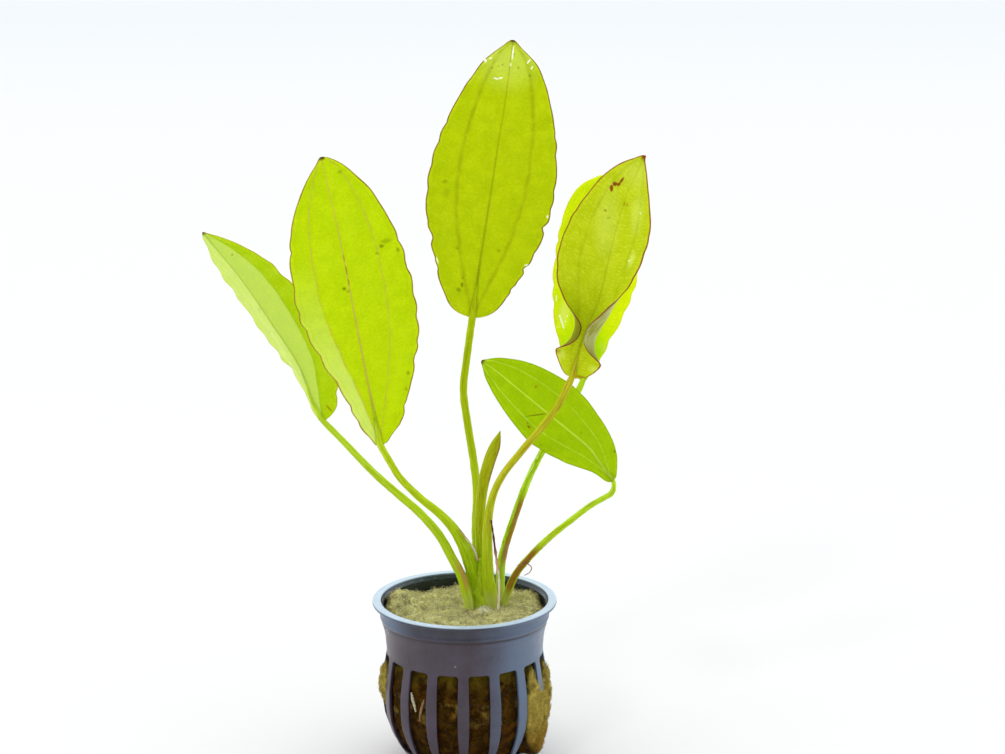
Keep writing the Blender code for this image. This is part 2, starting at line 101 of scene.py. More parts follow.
# Leaves: routes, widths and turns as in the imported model. wave: height and pitch of the
# margin's waves out of the surface; scallop: depth and pitch of its lobes, and the shares of
# the length between which they run. notches: side, share of the length, depth and reach.
LEAVES = {
    1: dict(
        stalk=(
            (1.2, 0.0, 47.6), (0.9, 0.0, 50.0), (-0.8, 0.3, 56.4), (-3.7, 1.0, 62.1), (-7.6, 2.0, 69.0),
            (-13.2, 3.0, 75.4), (-19.0, 4.2, 80.3), (-27.0, 5.5, 87.2), (-36.5, 7.0, 97.0), (-42.0, 8.0, 102.5),
        ),
        radii=(1.5, 1.4, 1.25, 1.1, 0.95, 0.95), flare=1.25,
        midrib=(
            (-42.0, 8.0, 102.5), (-45.3, 9.5, 108.5), (-49.5, 12.0, 118.9), (-58.0, 16.0, 131.2),
            (-66.6, 20.0, 142.9), (-78.8, 26.0, 156.4),
        ),
        facing=((-0.45, -0.88, 0.1), (-0.5, -0.86, 0.1)),
        left=(1.0, 3.6, 3.8, 6.4, 9.8, 12.0, 12.6, 11.8, 9.0, 4.4, 0.0),
        right=(1.0, 5.4, 7.9, 9.2, 10.9, 11.8, 10.8, 8.0, 4.4, 1.4, 0.0),
        fold=(-40, -36), curl=(0, 0), ridge_in_front=True,
        wave=(0.5, 8.0), scallop=(0.5, 6.5, 0.03, 0.4), notches=(("left", 0.15, 0.9, 0.02),),
    ),
    2: dict(
        stalk=(
            (3.7, 4.0, 48.4), (2.6, 3.0, 56.8), (0.2, 1.0, 65.0), (-3.0, -1.0, 71.6), (-7.4, -3.0, 77.2),
            (-12.9, -5.4, 82.6), (-18.2, -8.2, 89.0), (-21.2, -10.2, 94.6), (-23.9, -12.0, 100.4),
        ),
        radii=(2.3, 2.1, 1.35, 1.08, 1.0, 1.15), flare=1.4,
        midrib=(
            (-23.9, -12.0, 100.4), (-25.4, -14.0, 110.4), (-27.3, -16.5, 122.0), (-29.3, -18.5, 134.5),
            (-32.4, -21.0, 153.9), (-34.8, -22.5, 167.5), (-38.2, -24.0, 184.2),
        ),
        facing=((0.1, -1.0, 0.1), (0.0, -1.0, 0.0)),
        left=(1.2, 2.4, 5.2, 7.6, 11.9, 15.4, 15.1, 12.5, 7.4, 2.2, 0.0),
        right=(1.2, 3.8, 8.4, 12.2, 16.4, 17.7, 16.9, 14.0, 9.6, 4.2, 0.0),
        fold=(8, 8), curl=(-8, -8), ridge_in_front=False,
        wave=(0.7, 9.0), scallop=(0.55, 7.5, 0.05, 0.8),
        notches=(("right", 0.30, 0.7, 0.02), ("right", 0.12, 0.6, 0.015), ("right", 0.60, 0.4, 0.015)),
    ),
    3: dict(
        stalk=(
            (5.0, 9.0, 48.4), (4.0, 9.4, 58.0), (3.3, 9.6, 68.0), (3.6, 9.8, 80.0), (2.6, 10.2, 90.0),
            (0.9, 10.6, 101.0), (-0.3, 11.0, 111.0), (0.6, 11.8, 120.0), (2.4, 13.0, 133.0),
        ),
        radii=(1.6, 1.35, 1.2, 1.15, 1.1, 1.1), flare=1.1,
        midrib=(
            (2.4, 13.0, 133.0), (4.4, 13.5, 147.3), (6.2, 14.5, 159.0), (7.9, 16.0, 169.5),
            (9.7, 18.0, 181.3), (12.4, 22.0, 197.7), (14.4, 27.0, 213.4),
        ),
        facing=((0.0, -1.0, 0.0), (0.0, -1.0, 0.1)),
        left=(0.9, 6.4, 10.3, 14.1, 18.0, 18.9, 16.6, 12.9, 8.2, 2.8, 0.0),
        right=(0.9, 5.9, 9.8, 14.2, 17.7, 18.6, 16.9, 13.2, 8.8, 2.8, 0.0),
        fold=(8, 8), curl=(-8, -8), ridge_in_front=False,
        wave=(0.7, 8.0), scallop=(0.45, 7.0, 0.05, 0.75),
        notches=(
            ("right", 0.355, 0.9, 0.012), ("right", 0.20, 1.1, 0.012), ("right", 0.12, 0.7, 0.012),
            ("left", 0.27, 0.8, 0.02), ("left", 0.16, 0.5, 0.012),
        ),
    ),
    4: dict(
        stalk=(
            (8.0, 1.2, 48.4), (7.0, 0.4, 56.0), (6.8, -0.4, 64.0), (7.0, -2.0, 74.0), (8.5, -4.0, 82.7),
            (11.6, -6.5, 90.0), (17.0, -10.0, 98.0), (22.6, -14.0, 106.0), (27.1, -17.0, 113.0), (30.9, -20.0, 121.9),
        ),
        radii=(2.1, 1.6, 1.1, 1.05, 1.0, 1.05), flare=1.3,
        midrib=(
            (30.9, -20.0, 121.9), (33.8, -22.0, 133.5), (38.1, -24.0, 144.6), (40.9, -26.0, 157.5),
            (42.6, -27.2, 165.0), (45.0, -28.7, 174.0), (49.9, -31.0, 185.3),
        ),
        facing=((-0.15, -1.0, 0.1), (-0.35, -0.93, 0.1)),
        left=(1.0, 3.6, 6.4, 6.6, 11.4, 14.2, 13.2, 9.8, 6.2, 2.2, 0.0),
        right=(1.0, 4.6, 7.6, 9.6, 10.4, 10.4, 11.4, 9.8, 5.0, 0.9, 0.0),
        fold=((0, 0, 0, 15, 8, 5, 5, 5, 5, 5, 5), (0, 0, 0, 20, 24, 24, 24, 22, 20, 18, 15)),
        curl=((0, 0, 20, 225, 60, 0, 0, 0, 0, 0, 0), (0, 0, 40, 220, 140, 25, 0, 0, 0, 0, 0)),
        ridge_in_front=False,
        wave=(0.35, 9.0), scallop=(0.2, 6.0, 0.3, 0.8), notches=(),
    ),
    5: dict(
        stalk=(
            (10.6, 8.0, 48.2), (10.8, 10.0, 56.0), (12.0, 12.4, 62.0), (14.5, 15.0, 69.4), (17.2, 17.8, 76.6),
            (20.0, 20.5, 83.0), (24.0, 23.4, 90.0), (29.0, 26.2, 97.4), (33.0, 28.2, 104.0), (36.1, 30.0, 110.2),
        ),
        radii=(1.5, 1.25, 1.15, 1.05, 1.0, 1.0), flare=1.2,
        midrib=(
            (36.1, 30.0, 110.2), (36.7, 32.0, 120.7), (37.9, 34.0, 131.3), (39.1, 36.0, 140.3),
            (40.4, 38.5, 149.2), (41.4, 41.5, 160.4), (43.4, 44.6, 171.6),
        ),
        facing=((0.0, -1.0, 0.0), (0.0, -1.0, 0.1)),
        left=(0.8, 2.4, 5.6, 9.2, 11.3, 12.6, 12.6, 11.2, 8.4, 3.6, 0.0),
        right=(0.8, 2.0, 4.9, 7.6, 11.1, 13.3, 13.4, 11.0, 7.4, 2.4, 0.0),
        fold=(6, 6), curl=(6, 6), ridge_in_front=False,
        wave=(0.6, 8.0), scallop=(0.5, 7.0, 0.05, 0.8), notches=(),
    ),
    6: dict(
        stalk=(
            (12.0, 3.5, 48.0), (15.2, 2.2, 56.5), (19.5, 0.8, 62.6), (25.4, -0.5, 69.1), (31.6, -1.5, 74.6),
            (37.0, -2.5, 79.2), (41.0, -3.2, 81.8), (43.3, -3.6, 83.4), (44.0, -3.8, 85.4), (43.7, -4.0, 87.6),
        ),
        radii=(1.35, 1.1, 1.0, 0.9, 0.85, 0.85), flare=1.15,
        midrib=(
            (43.7, -4.0, 87.6), (40.7, -4.5, 91.6), (36.6, -5.0, 97.5), (30.4, -5.0, 102.9),
            (24.0, -4.0, 108.0), (17.0, -2.0, 113.5), (9.4, 1.0, 119.2), (5.2, 3.0, 121.8),
        ),
        facing=((0.1, -1.0, 0.3), (0.0, -1.0, 0.1)),
        left=(0.8, 2.0, 3.2, 6.7, 8.8, 9.9, 8.5, 6.4, 4.0, 1.4, 0.0),
        right=(0.8, 2.4, 5.2, 7.0, 9.5, 10.9, 10.0, 7.8, 4.5, 1.4, 0.0),
        fold=(10, 10), curl=(-6, -6), ridge_in_front=False,
        wave=(0.3, 10.0), scallop=(0.15, 8.0, 0.05, 0.6), notches=(),
    ),
}

BLADE_ROWS = 150
HALF_COLUMNS = 24
BLADE_THICKNESS = 0.34
TIP_HALF_WIDTH = 0.12
# Share of the half width at which the side vein runs, from the base to the tip
SIDE_VEIN = (0.05, 0.12, 0.28, 0.42, 0.50, 0.55, 0.58, 0.60, 0.62, 0.66, 0.70)
MIDRIB_RIDGE = (0.3, 0.04)
MIDRIB_WIDTH = (0.8, 0.3)

YOUNG_ROUTE = (
    (7.4, 5.6, 48.4), (5.8, 5.3, 55.0), (4.9, 5.0, 62.0), (4.6, 4.7, 73.0), (5.5, 4.2, 83.0),
    (7.3, 3.7, 90.6), (9.4, 3.1, 96.6), (10.7, 2.5, 100.8),
)
YOUNG_RADII = (1.4, 1.4, 1.4, 1.4, 1.4, 1.45, 1.5, 1.6, 1.7, 1.75, 1.5, 0.1)

SHEATH_RIGHT = (
    (10.0, -1.6, 46.6), (10.3, -1.6, 53.0), (10.2, -1.6, 57.5), (9.7, -1.8, 61.5),
    (9.0, -2.4, 67.0), (8.5, -3.2, 71.5), (8.0, -4.6, 75.5),
)
SHEATH_LEFT = ((3.9, 1.0, 61.4), (3.4, 0.6, 63.6), (2.2, -0.6, 66.6), (0.4, -1.4, 69.2), (-1.6, -2.6, 72.4))
SHEATH_HALF_WIDTHS = (0.42, 0.55)
SHEATH_THICKNESS = 0.22

ROOT_WHITE = ((-15.3, -18.9, 27.4), (-14.9, -19.3, 25.4), (-14.4, -19.7, 23.6), (-14.0, -20.0, 21.8))
ROOT_BROWN = ((-11.5, -21.3, 26.0), (-12.1, -21.0, 23.8), (-12.6, -20.7, 21.6), (-12.9, -20.4, 19.0))
FILAMENT = (
    (15.6, -0.6, 60.2), (17.2, -0.4, 60.9), (18.8, -0.2, 60.7), (20.0, 0.0, 59.4), (19.3, 0.0, 57.9), (17.8, 0.0, 57.0),
)


# Numbers and curves

def unit(vectors):
    return vectors / np.linalg.norm(vectors, axis=-1, keepdims=True)


def between(low, high, share):
    return low + (high - low) * share


def smooth_step(low, high, values):
    t = np.clip((values - low) / (high - low), 0.0, 1.0)
    return t * t * (3.0 - 2.0 * t)


def spline(row, at):
    """Smooth values at fractional places in a row, given with one more value before and after it."""
    i = np.minimum(at.astype(int), len(row) - 4)
    t = at - i
    if row.ndim > 1:
        t = t[..., None]
    a, b, c, d = row[i], row[i + 1], row[i + 2], row[i + 3]
    return 0.5 * (2 * b + (c - a) * t + (2 * a - 5 * b + 4 * c - d) * t ** 2 + (3 * b - a - 3 * c + d) * t ** 3)


def lengthened(row):
    """The row with one more value at each end, in line with its last two."""
    row = np.array(row, float)
    return np.concatenate([[2 * row[0] - row[1]], row, [2 * row[-1] - row[-2]]])


def read_along(values, places):
    """Smooth values at places from 0 to 1 in a row of even steps, or the one value everywhere."""
    if np.ndim(values) == 0:
        return np.full(np.shape(places), float(values))
    return spline(lengthened(values), np.clip(places, 0.0, 1.0) * (len(values) - 1))


class Path:
    """A smooth curve through given points, read by the share of its length."""

    def __init__(self, points, fine=24):
        count = len(points) - 1
        self.points = spline(lengthened(points), np.linspace(0, count, count * fine + 1))
        steps = np.linalg.norm(np.diff(self.points, axis=0), axis=1)
        self.lengths = np.concatenate([[0.0], np.cumsum(steps)])
        self.length = self.lengths[-1]

    def at(self, shares):
        wanted = np.clip(shares, 0.0, 1.0) * self.length
        return np.stack([np.interp(wanted, self.lengths, self.points[:, i]) for i in range(3)], axis=-1)

    def heading(self, shares, reach=0.02):
        shares = np.asarray(shares, float)
        return unit(self.at(shares + reach) - self.at(shares - reach))


def wander(distance, pitch, seed):
    """A smooth random wave along a distance, about -1 to 1, with its humps about a pitch apart."""
    phases = np.random.default_rng(seed).uniform(0.0, math.tau, 3)
    waves = [np.sin(distance * math.tau / (pitch * stretch) + phase) for stretch, phase in zip((0.8, 1.0, 1.4), phases)]
    return sum(waves) / 2.0


# Pieces

def add_piece(name, points, faces, material, nodes=(), attributes=None, smooth=True):
    """One closed mesh, given in millimetres, that rides on the body and stands for these nodes."""
    mesh = bpy.data.meshes.new(name)
    mesh.from_pydata((np.asarray(points) * MM).tolist(), [], faces)
    for key, values in (attributes or {}).items():
        layer = mesh.attributes.new(key, "FLOAT_VECTOR", "POINT")
        layer.data.foreach_set("vector", np.asarray(values, np.float32).ravel())
    bm = bmesh.new()
    bm.from_mesh(mesh)
    bmesh.ops.recalc_face_normals(bm, faces=bm.faces)
    bm.to_mesh(mesh)
    bm.free()
    if smooth:
        mesh.shade_smooth()
    mesh.materials.append(material)
    piece = bpy.data.objects.new(name, mesh)
    bpy.context.scene.collection.objects.link(piece)
    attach(piece, BODY)
    if nodes:
        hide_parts(*nodes)
    return piece


def sheet_faces(rows, columns):
    """Quads of a closed sheet: a grid, the same grid behind it, and the strip between their borders."""
    grid = np.arange(rows * columns).reshape(rows, columns)
    front = np.stack([grid[:-1, :-1], grid[:-1, 1:], grid[1:, 1:], grid[1:, :-1]], axis=-1).reshape(-1, 4)
    border = np.concatenate([grid[0, :-1], grid[:-1, -1], grid[-1, :0:-1], grid[:0:-1, 0]])
    after = np.roll(border, -1)
    behind = rows * columns
    strip = np.stack([border, border + behind, after + behind, after], axis=-1)
    return np.concatenate([front, front[:, ::-1] + behind, strip]).tolist()


def tube_faces(rings, sides):
    """Faces of a closed tube of rings, with its two ends filled."""
    ring = np.arange(rings * sides).reshape(rings, sides)
    near, far = ring[:-1], ring[1:]
    walls = np.stack([near, np.roll(near, -1, axis=1), np.roll(far, -1, axis=1), far], axis=-1).reshape(-1, 4)
    return walls.tolist() + [ring[0, ::-1].tolist(), ring[-1].tolist()]


def tube_points(
    route, radii, sides, flat=(1.0, 1.0), seed=0, rough=0.0, ring_step=0.8, towards=(0.0, -1.0, 0.0), taper=0.0,
):
    """Rings of an oval tube along a route, and for each point its place (around x 2, along) in the skin."""
    path = Path(route)
    rings = max(6, round(path.length / ring_step)) + 1
    shares = np.linspace(0.0, 1.0, rings)
    heading = path.heading(shares)
    front = np.asarray(towards, float)
    side = unit(np.cross(heading, front))
    front = np.cross(side, heading)
    radius = read_along(radii, shares)[:, None]
    around = np.linspace(0.0, math.tau, sides, endpoint=False)[None, :]
    along = (shares * path.length)[:, None]
    if rough:
        radius = radius * (1.0 + rough * wander(along, 5.0, seed) * np.cos(around * 2 + seed))
    if taper:
        radius = radius * between(0.15, 1.0, np.clip((path.length - along) / taper, 0.0, 1.0))
    wide = read_along(flat, shares)[:, None]
    x = radius * wide * np.cos(around)
    y = radius * np.sin(around)
    points = path.at(shares)[:, None, :] + x[..., None] * side[:, None, :] + y[..., None] * front[:, None, :]
    skin = np.stack([np.cos(around) * radius, np.sin(around) * radius, along + 0 * around], axis=-1)
    return points.reshape(-1, 3), skin.reshape(-1, 3), tube_faces(rings, sides)


# Materials

def srgb(red, green, blue):
    """Linear colour of a colour given as 0 to 255."""
    return tuple(c / 12.92 if c <= 0.04045 else ((c + 0.055) / 1.055) ** 2.4 for c in (red / 255, green / 255, blue / 255))


class Shades:
    """The nodes of one material. Every method takes sockets or plain values, and gives a socket."""

    def __init__(self, name):
        self.material = bpy.data.materials.new(name)
        self.material.use_nodes = True
        self.tree = self.material.node_tree
        self.shader = self.tree.nodes["Principled BSDF"]

    def make(self, kind, **settings):
        made = self.tree.nodes.new(kind)
        for key, value in settings.items():
            setattr(made, key, value)
        return made

    def put(self, socket, value):
        if isinstance(value, bpy.types.NodeSocket):
            self.tree.links.new(value, socket)
        elif isinstance(value, tuple) and len(value) == 3 and socket.type == "RGBA":
            socket.default_value = (*value, 1.0)
        else:
            socket.default_value = value

    def set(self, **values):
        """Values of the shader's own sockets, with _ for each space in a name."""
        for key, value in values.items():
            self.put(self.shader.inputs[key.replace("_", " ")], value)

    def attribute(self, name):
        return self.make("ShaderNodeAttribute", attribute_name=name).outputs["Vector"]

    def place(self):
        return self.make("ShaderNodeTexCoord").outputs["Object"]

    def parts(self, vector):
        made = self.make("ShaderNodeSeparateXYZ")
        self.put(made.inputs[0], vector)
        return made.outputs

    def vector(self, x, y, z):
        made = self.make("ShaderNodeCombineXYZ")
        for socket, value in zip(made.inputs, (x, y, z)):
            self.put(socket, value)
        return made.outputs[0]

    def stretched(self, vector, amounts):
        made = self.make("ShaderNodeVectorMath", operation="MULTIPLY")
        self.put(made.inputs[0], vector)
        made.inputs[1].default_value = amounts
        return made.outputs[0]

    def oval(self, vector, x, y, wide, long, turn):
        """How far a place lies from the middle of an oval, with 1 at its edge."""
        local = self.make("ShaderNodeMapping", vector_type="TEXTURE")
        self.put(local.inputs["Vector"], vector)
        local.inputs["Location"].default_value = (x, y, 0.0)
        local.inputs["Rotation"].default_value = (0.0, 0.0, math.radians(turn))
        local.inputs["Scale"].default_value = (wide, long, 1.0)
        made = self.make("ShaderNodeVectorMath", operation="LENGTH")
        self.put(made.inputs[0], local.outputs[0])
        return made.outputs["Value"]

    def distance(self, vector, point):
        made = self.make("ShaderNodeVectorMath", operation="DISTANCE")
        self.put(made.inputs[0], vector)
        made.inputs[1].default_value = point
        return made.outputs["Value"]

    def do(self, operation, a, b=0.0, clamp=False):
        made = self.make("ShaderNodeMath", operation=operation, use_clamp=clamp)
        self.put(made.inputs[0], a)
        self.put(made.inputs[1], b)
        return made.outputs[0]

    def ramp(self, value, low, high, to_low=0.0, to_high=1.0):
        """The value's share of the way from low to high, as a smooth step."""
        made = self.make("ShaderNodeMapRange", interpolation_type="SMOOTHSTEP")
        for socket, item in zip(made.inputs[:5], (value, low, high, to_low, to_high)):
            self.put(socket, item)
        return made.outputs[0]

    def noise(self, vector, scale, detail=3.0, roughness=0.5, distortion=0.0):
        made = self.make("ShaderNodeTexNoise")
        self.put(made.inputs["Vector"], vector)
        for key, value in (("Scale", scale), ("Detail", detail), ("Roughness", roughness), ("Distortion", distortion)):
            made.inputs[key].default_value = value
        return made.outputs["Fac"]

    def spots(self, vector, scale):
        made = self.make("ShaderNodeTexVoronoi")
        self.put(made.inputs["Vector"], vector)
        made.inputs["Scale"].default_value = scale
        return made.outputs["Distance"]

    def net(self, vector, scale):
        made = self.make("ShaderNodeTexVoronoi", feature="DISTANCE_TO_EDGE")
        self.put(made.inputs["Vector"], vector)
        made.inputs["Scale"].default_value = scale
        return made.outputs["Distance"]

    def mix(self, share, first, second):
        made = self.make("ShaderNodeMix", data_type="RGBA")
        self.put(made.inputs["Factor"], share)
        self.put(made.inputs[6], first)
        self.put(made.inputs[7], second)
        return made.outputs[2]

    def bump(self, height, strength, distance, under=None):
        made = self.make("ShaderNodeBump")
        self.put(made.inputs["Height"], height)
        made.inputs["Strength"].default_value = strength
        made.inputs["Distance"].default_value = distance
        if under is not None:
            self.put(made.inputs["Normal"], under)
        return made.outputs[0]


# Leaves

# Per leaf: its main and second colour and its reverse side's, its midrib's and side veins' colour
# with their strengths, the strength of its cross veins and of its net, its margin's and tip's
# colours, and how far the tip's colour reaches. painted_sheen, a painted reflection that makes one
# side of a side vein pale: the side vein that bounds it (1 right, -1 left), the direction from it, how far up it fades,
# and its strength.
LEAF_LOOKS = {
    1: dict(
        main=srgb(171, 196, 8), second=srgb(180, 202, 28), back=srgb(128, 150, 44),
        rib=srgb(130, 160, 10), rib_share=0.4, side_share=0.4, side_width=0.26, cross=0.35, net=0.12,
        margin=srgb(140, 104, 40), margin_share=0.6, tip=srgb(60, 44, 14), tip_reach=0.8,
        painted_sheen=(1, -1, 70.0, 90.0, 0.4),
    ),
    2: dict(
        main=srgb(179, 202, 2), second=srgb(190, 211, 8), back=srgb(130, 150, 34),
        rib=srgb(190, 160, 84), rib_share=0.65, side_share=0.55, side_width=0.32, cross=0.22, net=0.2,
        margin=srgb(120, 66, 40), margin_share=0.85, tip=srgb(60, 40, 14), tip_reach=0.8,
        painted_sheen=(-1, -1, 10.0, 62.0, 0.5),
    ),
    3: dict(
        main=srgb(174, 190, 3), second=srgb(186, 200, 10), back=srgb(126, 144, 34),
        rib=srgb(146, 142, 14), rib_share=0.5, side_share=0.4, side_width=0.95, cross=0.22, net=0.2,
        margin=srgb(104, 54, 34), margin_share=0.95, tip=srgb(50, 30, 12), tip_reach=0.8,
    ),
    4: dict(
        main=srgb(178, 190, 10), second=srgb(190, 200, 32), back=srgb(132, 130, 34),
        rib=srgb(150, 158, 10), rib_share=0.3, side_share=0.3, side_width=0.7, cross=0.55, net=0.1,
        margin=srgb(120, 48, 36), margin_share=0.95, tip=srgb(120, 44, 24), tip_reach=1.6, flap=0.85,
    ),
    5: dict(
        main=srgb(204, 226, 5), second=srgb(214, 233, 14), back=srgb(136, 160, 30),
        rib=srgb(180, 200, 30), rib_share=0.4, side_share=0.3, side_width=0.4, cross=0.25, net=0.1,
        margin=srgb(190, 170, 40), margin_share=0.4, tip=srgb(60, 40, 14), tip_reach=0.8,
    ),
    6: dict(
        main=srgb(155, 184, 3), second=srgb(165, 192, 8), back=srgb(112, 136, 34),
        rib=srgb(200, 216, 84), rib_share=0.6, side_share=0.5, side_width=0.26, cross=0.15, net=0.15,
        margin=srgb(100, 128, 10), margin_share=0.6, tip=srgb(60, 50, 20), tip_reach=1.0,
    ),
}
# Marks on the leaves: colour, and the share of its radius at which a mark starts to fade
MARK_KINDS = {
    "smudge": (srgb(100, 104, 10), 0.3),
    "rust": (srgb(140, 72, 16), 0.6),
    # pale_wash_and_sheen: pale patches; on leaves 1 and 5 they are painted sheen and painted back light
    "pale_wash_and_sheen": (srgb(222, 232, 140), 0.05),
    "green": (srgb(140, 190, 2), 0.05),
    "glint": (srgb(252, 254, 236), 0.6),
}
# Pale colour of the painted reflection on leaves 1 and 2
PAINTED_SHEEN_COLOUR = srgb(214, 230, 150)
FLAP_GREY = srgb(186, 186, 140)
FLAP_SHADE_OLIVE = srgb(118, 106, 18)
# Per leaf: kind, place right of the midrib and up from the base, half width and half length, turn
# in degrees, and strength
LEAF_MARKS = {
    1: (
        ("rust", 3.3, 2.4, 0.25, 1.8, 10, 0.7), ("smudge", 2.5, 57.0, 0.5, 0.4, 0, 0.6),
        ("pale_wash_and_sheen", -5.5, 26.0, 2.5, 22.0, 0, 0.3),
    ),
    2: (
        ("rust", 0.1, 50.0, 0.28, 1.2, 0, 0.6), ("rust", 0.1, 53.4, 0.28, 1.6, 0, 0.6),
        ("rust", 0.1, 57.0, 0.25, 1.3, 0, 0.5), ("smudge", -1.5, 48.4, 0.8, 0.7, 0, 0.75),
        ("smudge", -0.6, 47.4, 0.9, 0.6, 30, 0.4), ("smudge", 11.1, 58.8, 0.9, 0.7, 0, 0.7),
        ("smudge", 12.6, 60.0, 2.0, 0.9, 0, 0.35), ("smudge", 15.4, 57.1, 0.7, 0.9, 0, 0.5),
        ("smudge", 9.5, 57.0, 0.7, 0.6, 0, 0.4), ("smudge", 4.2, 81.0, 0.9, 0.7, 0, 0.4),
        ("smudge", 11.8, 20.7, 0.8, 1.0, 0, 0.5), ("smudge", 10.4, 16.0, 0.5, 0.8, 0, 0.5),
    ),
    3: (
        ("glint", 0.45, 79.0, 0.3, 2.6, 0, 0.95), ("glint", 0.2, 75.4, 0.3, 0.7, 0, 0.6),
        ("glint", -2.3, 71.0, 0.8, 0.28, 25, 0.95), ("glint", -3.6, 70.6, 0.9, 0.28, -8, 0.95),
        ("glint", -7.4, 75.4, 0.5, 0.7, 20, 0.9), ("glint", -5.9, 76.4, 0.7, 0.3, 40, 0.8),
        ("glint", 5.4, 76.8, 0.3, 1.0, -30, 0.9), ("glint", 6.6, 75.0, 0.3, 0.7, -20, 0.7),
        ("glint", 17.6, 32.8, 0.35, 0.6, 0, 0.8), ("glint", 13.6, 17.8, 0.7, 0.3, 20, 0.8),
        ("glint", -12.6, 15.4, 0.3, 1.2, 25, 0.8), ("pale_wash_and_sheen", -1.0, 76.0, 13.0, 11.0, 0, 0.3),
        ("smudge", -4.4, 9.2, 0.6, 1.0, 10, 0.75), ("smudge", -5.2, 7.6, 1.1, 0.8, -20, 0.5),
        ("smudge", -4.5, 11.2, 0.6, 0.6, 0, 0.4), ("smudge", -13.9, 38.3, 1.2, 0.8, 30, 0.4),
        ("smudge", -13.0, 35.0, 1.6, 2.2, 0, 0.2), ("smudge", -7.5, 19.6, 0.6, 0.5, 0, 0.5),
        ("smudge", 5.0, 20.7, 0.8, 0.7, 0, 0.4), ("smudge", 6.9, 36.2, 0.3, 0.3, 0, 0.4),
        ("smudge", -2.2, 75.0, 0.4, 0.5, 0, 0.5), ("smudge", 2.6, 74.6, 0.5, 0.5, 0, 0.5),
        ("smudge", -5.2, 73.6, 0.5, 0.5, 0, 0.5), ("smudge", -3.4, 74.4, 0.4, 0.4, 0, 0.4),
        ("smudge", 0.9, 78.6, 0.5, 0.6, 0, 0.3), ("smudge", 6.2, 72.6, 0.5, 0.6, 0, 0.4),
    ),
    4: (
        ("rust", -4.6, 55.2, 0.6, 1.1, 25, 1.0), ("rust", -4.2, 56.6, 0.8, 0.7, 35, 1.0),
        ("rust", -3.2, 56.9, 0.7, 0.5, 60, 1.0), ("rust", -2.9, 58.2, 0.4, 1.2, -10, 1.0),
        ("rust", 0.3, 52.6, 0.35, 0.9, 0, 0.55), ("rust", 1.3, 52.9, 0.45, 0.5, 0, 0.4),
        ("smudge", -4.3, 49.3, 0.6, 0.5, 0, 0.6), ("smudge", -2.9, 47.6, 0.8, 0.4, 30, 0.4),
        ("pale_wash_and_sheen", 5.4, 52.0, 3.4, 9.0, 12, 0.2), ("pale_wash_and_sheen", -3.0, 46.0, 5.0, 14.0, 10, 0.2),
        ("pale_wash_and_sheen", 7.5, 39.0, 1.4, 4.0, -10, 0.35), ("glint", 6.4, 52.6, 0.3, 0.3, 0, 0.9),
        ("pale_wash_and_sheen", 0.0, 61.5, 6.0, 6.0, 0, 0.2), ("glint", 6.8, 38.4, 0.25, 0.3, 0, 0.8),
        ("pale_wash_and_sheen", -4.6, 5.6, 2.0, 2.4, 0, 0.35), ("pale_wash_and_sheen", 5.4, 4.4, 2.4, 1.6, 30, 0.3),
        ("rust", -5.6, 6.6, 0.7, 1.0, 20, 0.35), ("rust", 2.6, 0.8, 2.0, 0.5, 0, 0.6),
    ),
    5: (
        ("green", 0.0, 6.0, 14.0, 17.0, 0, 0.8), ("pale_wash_and_sheen", -7.6, 20.0, 2.6, 6.0, 0, 0.5),
        ("glint", -8.2, 17.2, 0.35, 1.7, 28, 0.9), ("glint", -7.4, 15.6, 0.3, 0.8, 20, 0.8),
        ("glint", -8.9, 18.6, 0.5, 0.4, 0, 0.7), ("glint", -6.6, 18.8, 0.3, 0.4, 0, 0.6),
        ("glint", -7.0, 17.2, 0.35, 0.3, 0, 0.7), ("glint", -8.9, 15.4, 0.3, 0.3, 0, 0.5),
        ("glint", -10.6, 23.8, 0.3, 1.2, 0, 0.7), ("pale_wash_and_sheen", 6.0, 10.0, 2.6, 3.0, 30, 0.3),
    ),
    6: (
        ("smudge", -2.6, 30.4, 4.6, 0.32, -42, 0.75), ("rust", -6.6, 29.8, 0.4, 0.7, 0, 0.8),
        ("rust", -6.0, 30.8, 0.5, 0.35, 0, 0.5), ("rust", 3.9, 35.6, 0.5, 0.4, 0, 0.6),
        ("smudge", 5.4, 7.2, 0.7, 0.6, 0, 0.7), ("smudge", 1.8, 17.0, 0.7, 0.5, 0, 0.3),
        ("smudge", -9.4, 36.0, 0.35, 0.8, 0, 0.7), ("smudge", -8.6, 24.0, 0.35, 0.5, 0, 0.5),
    ),
}


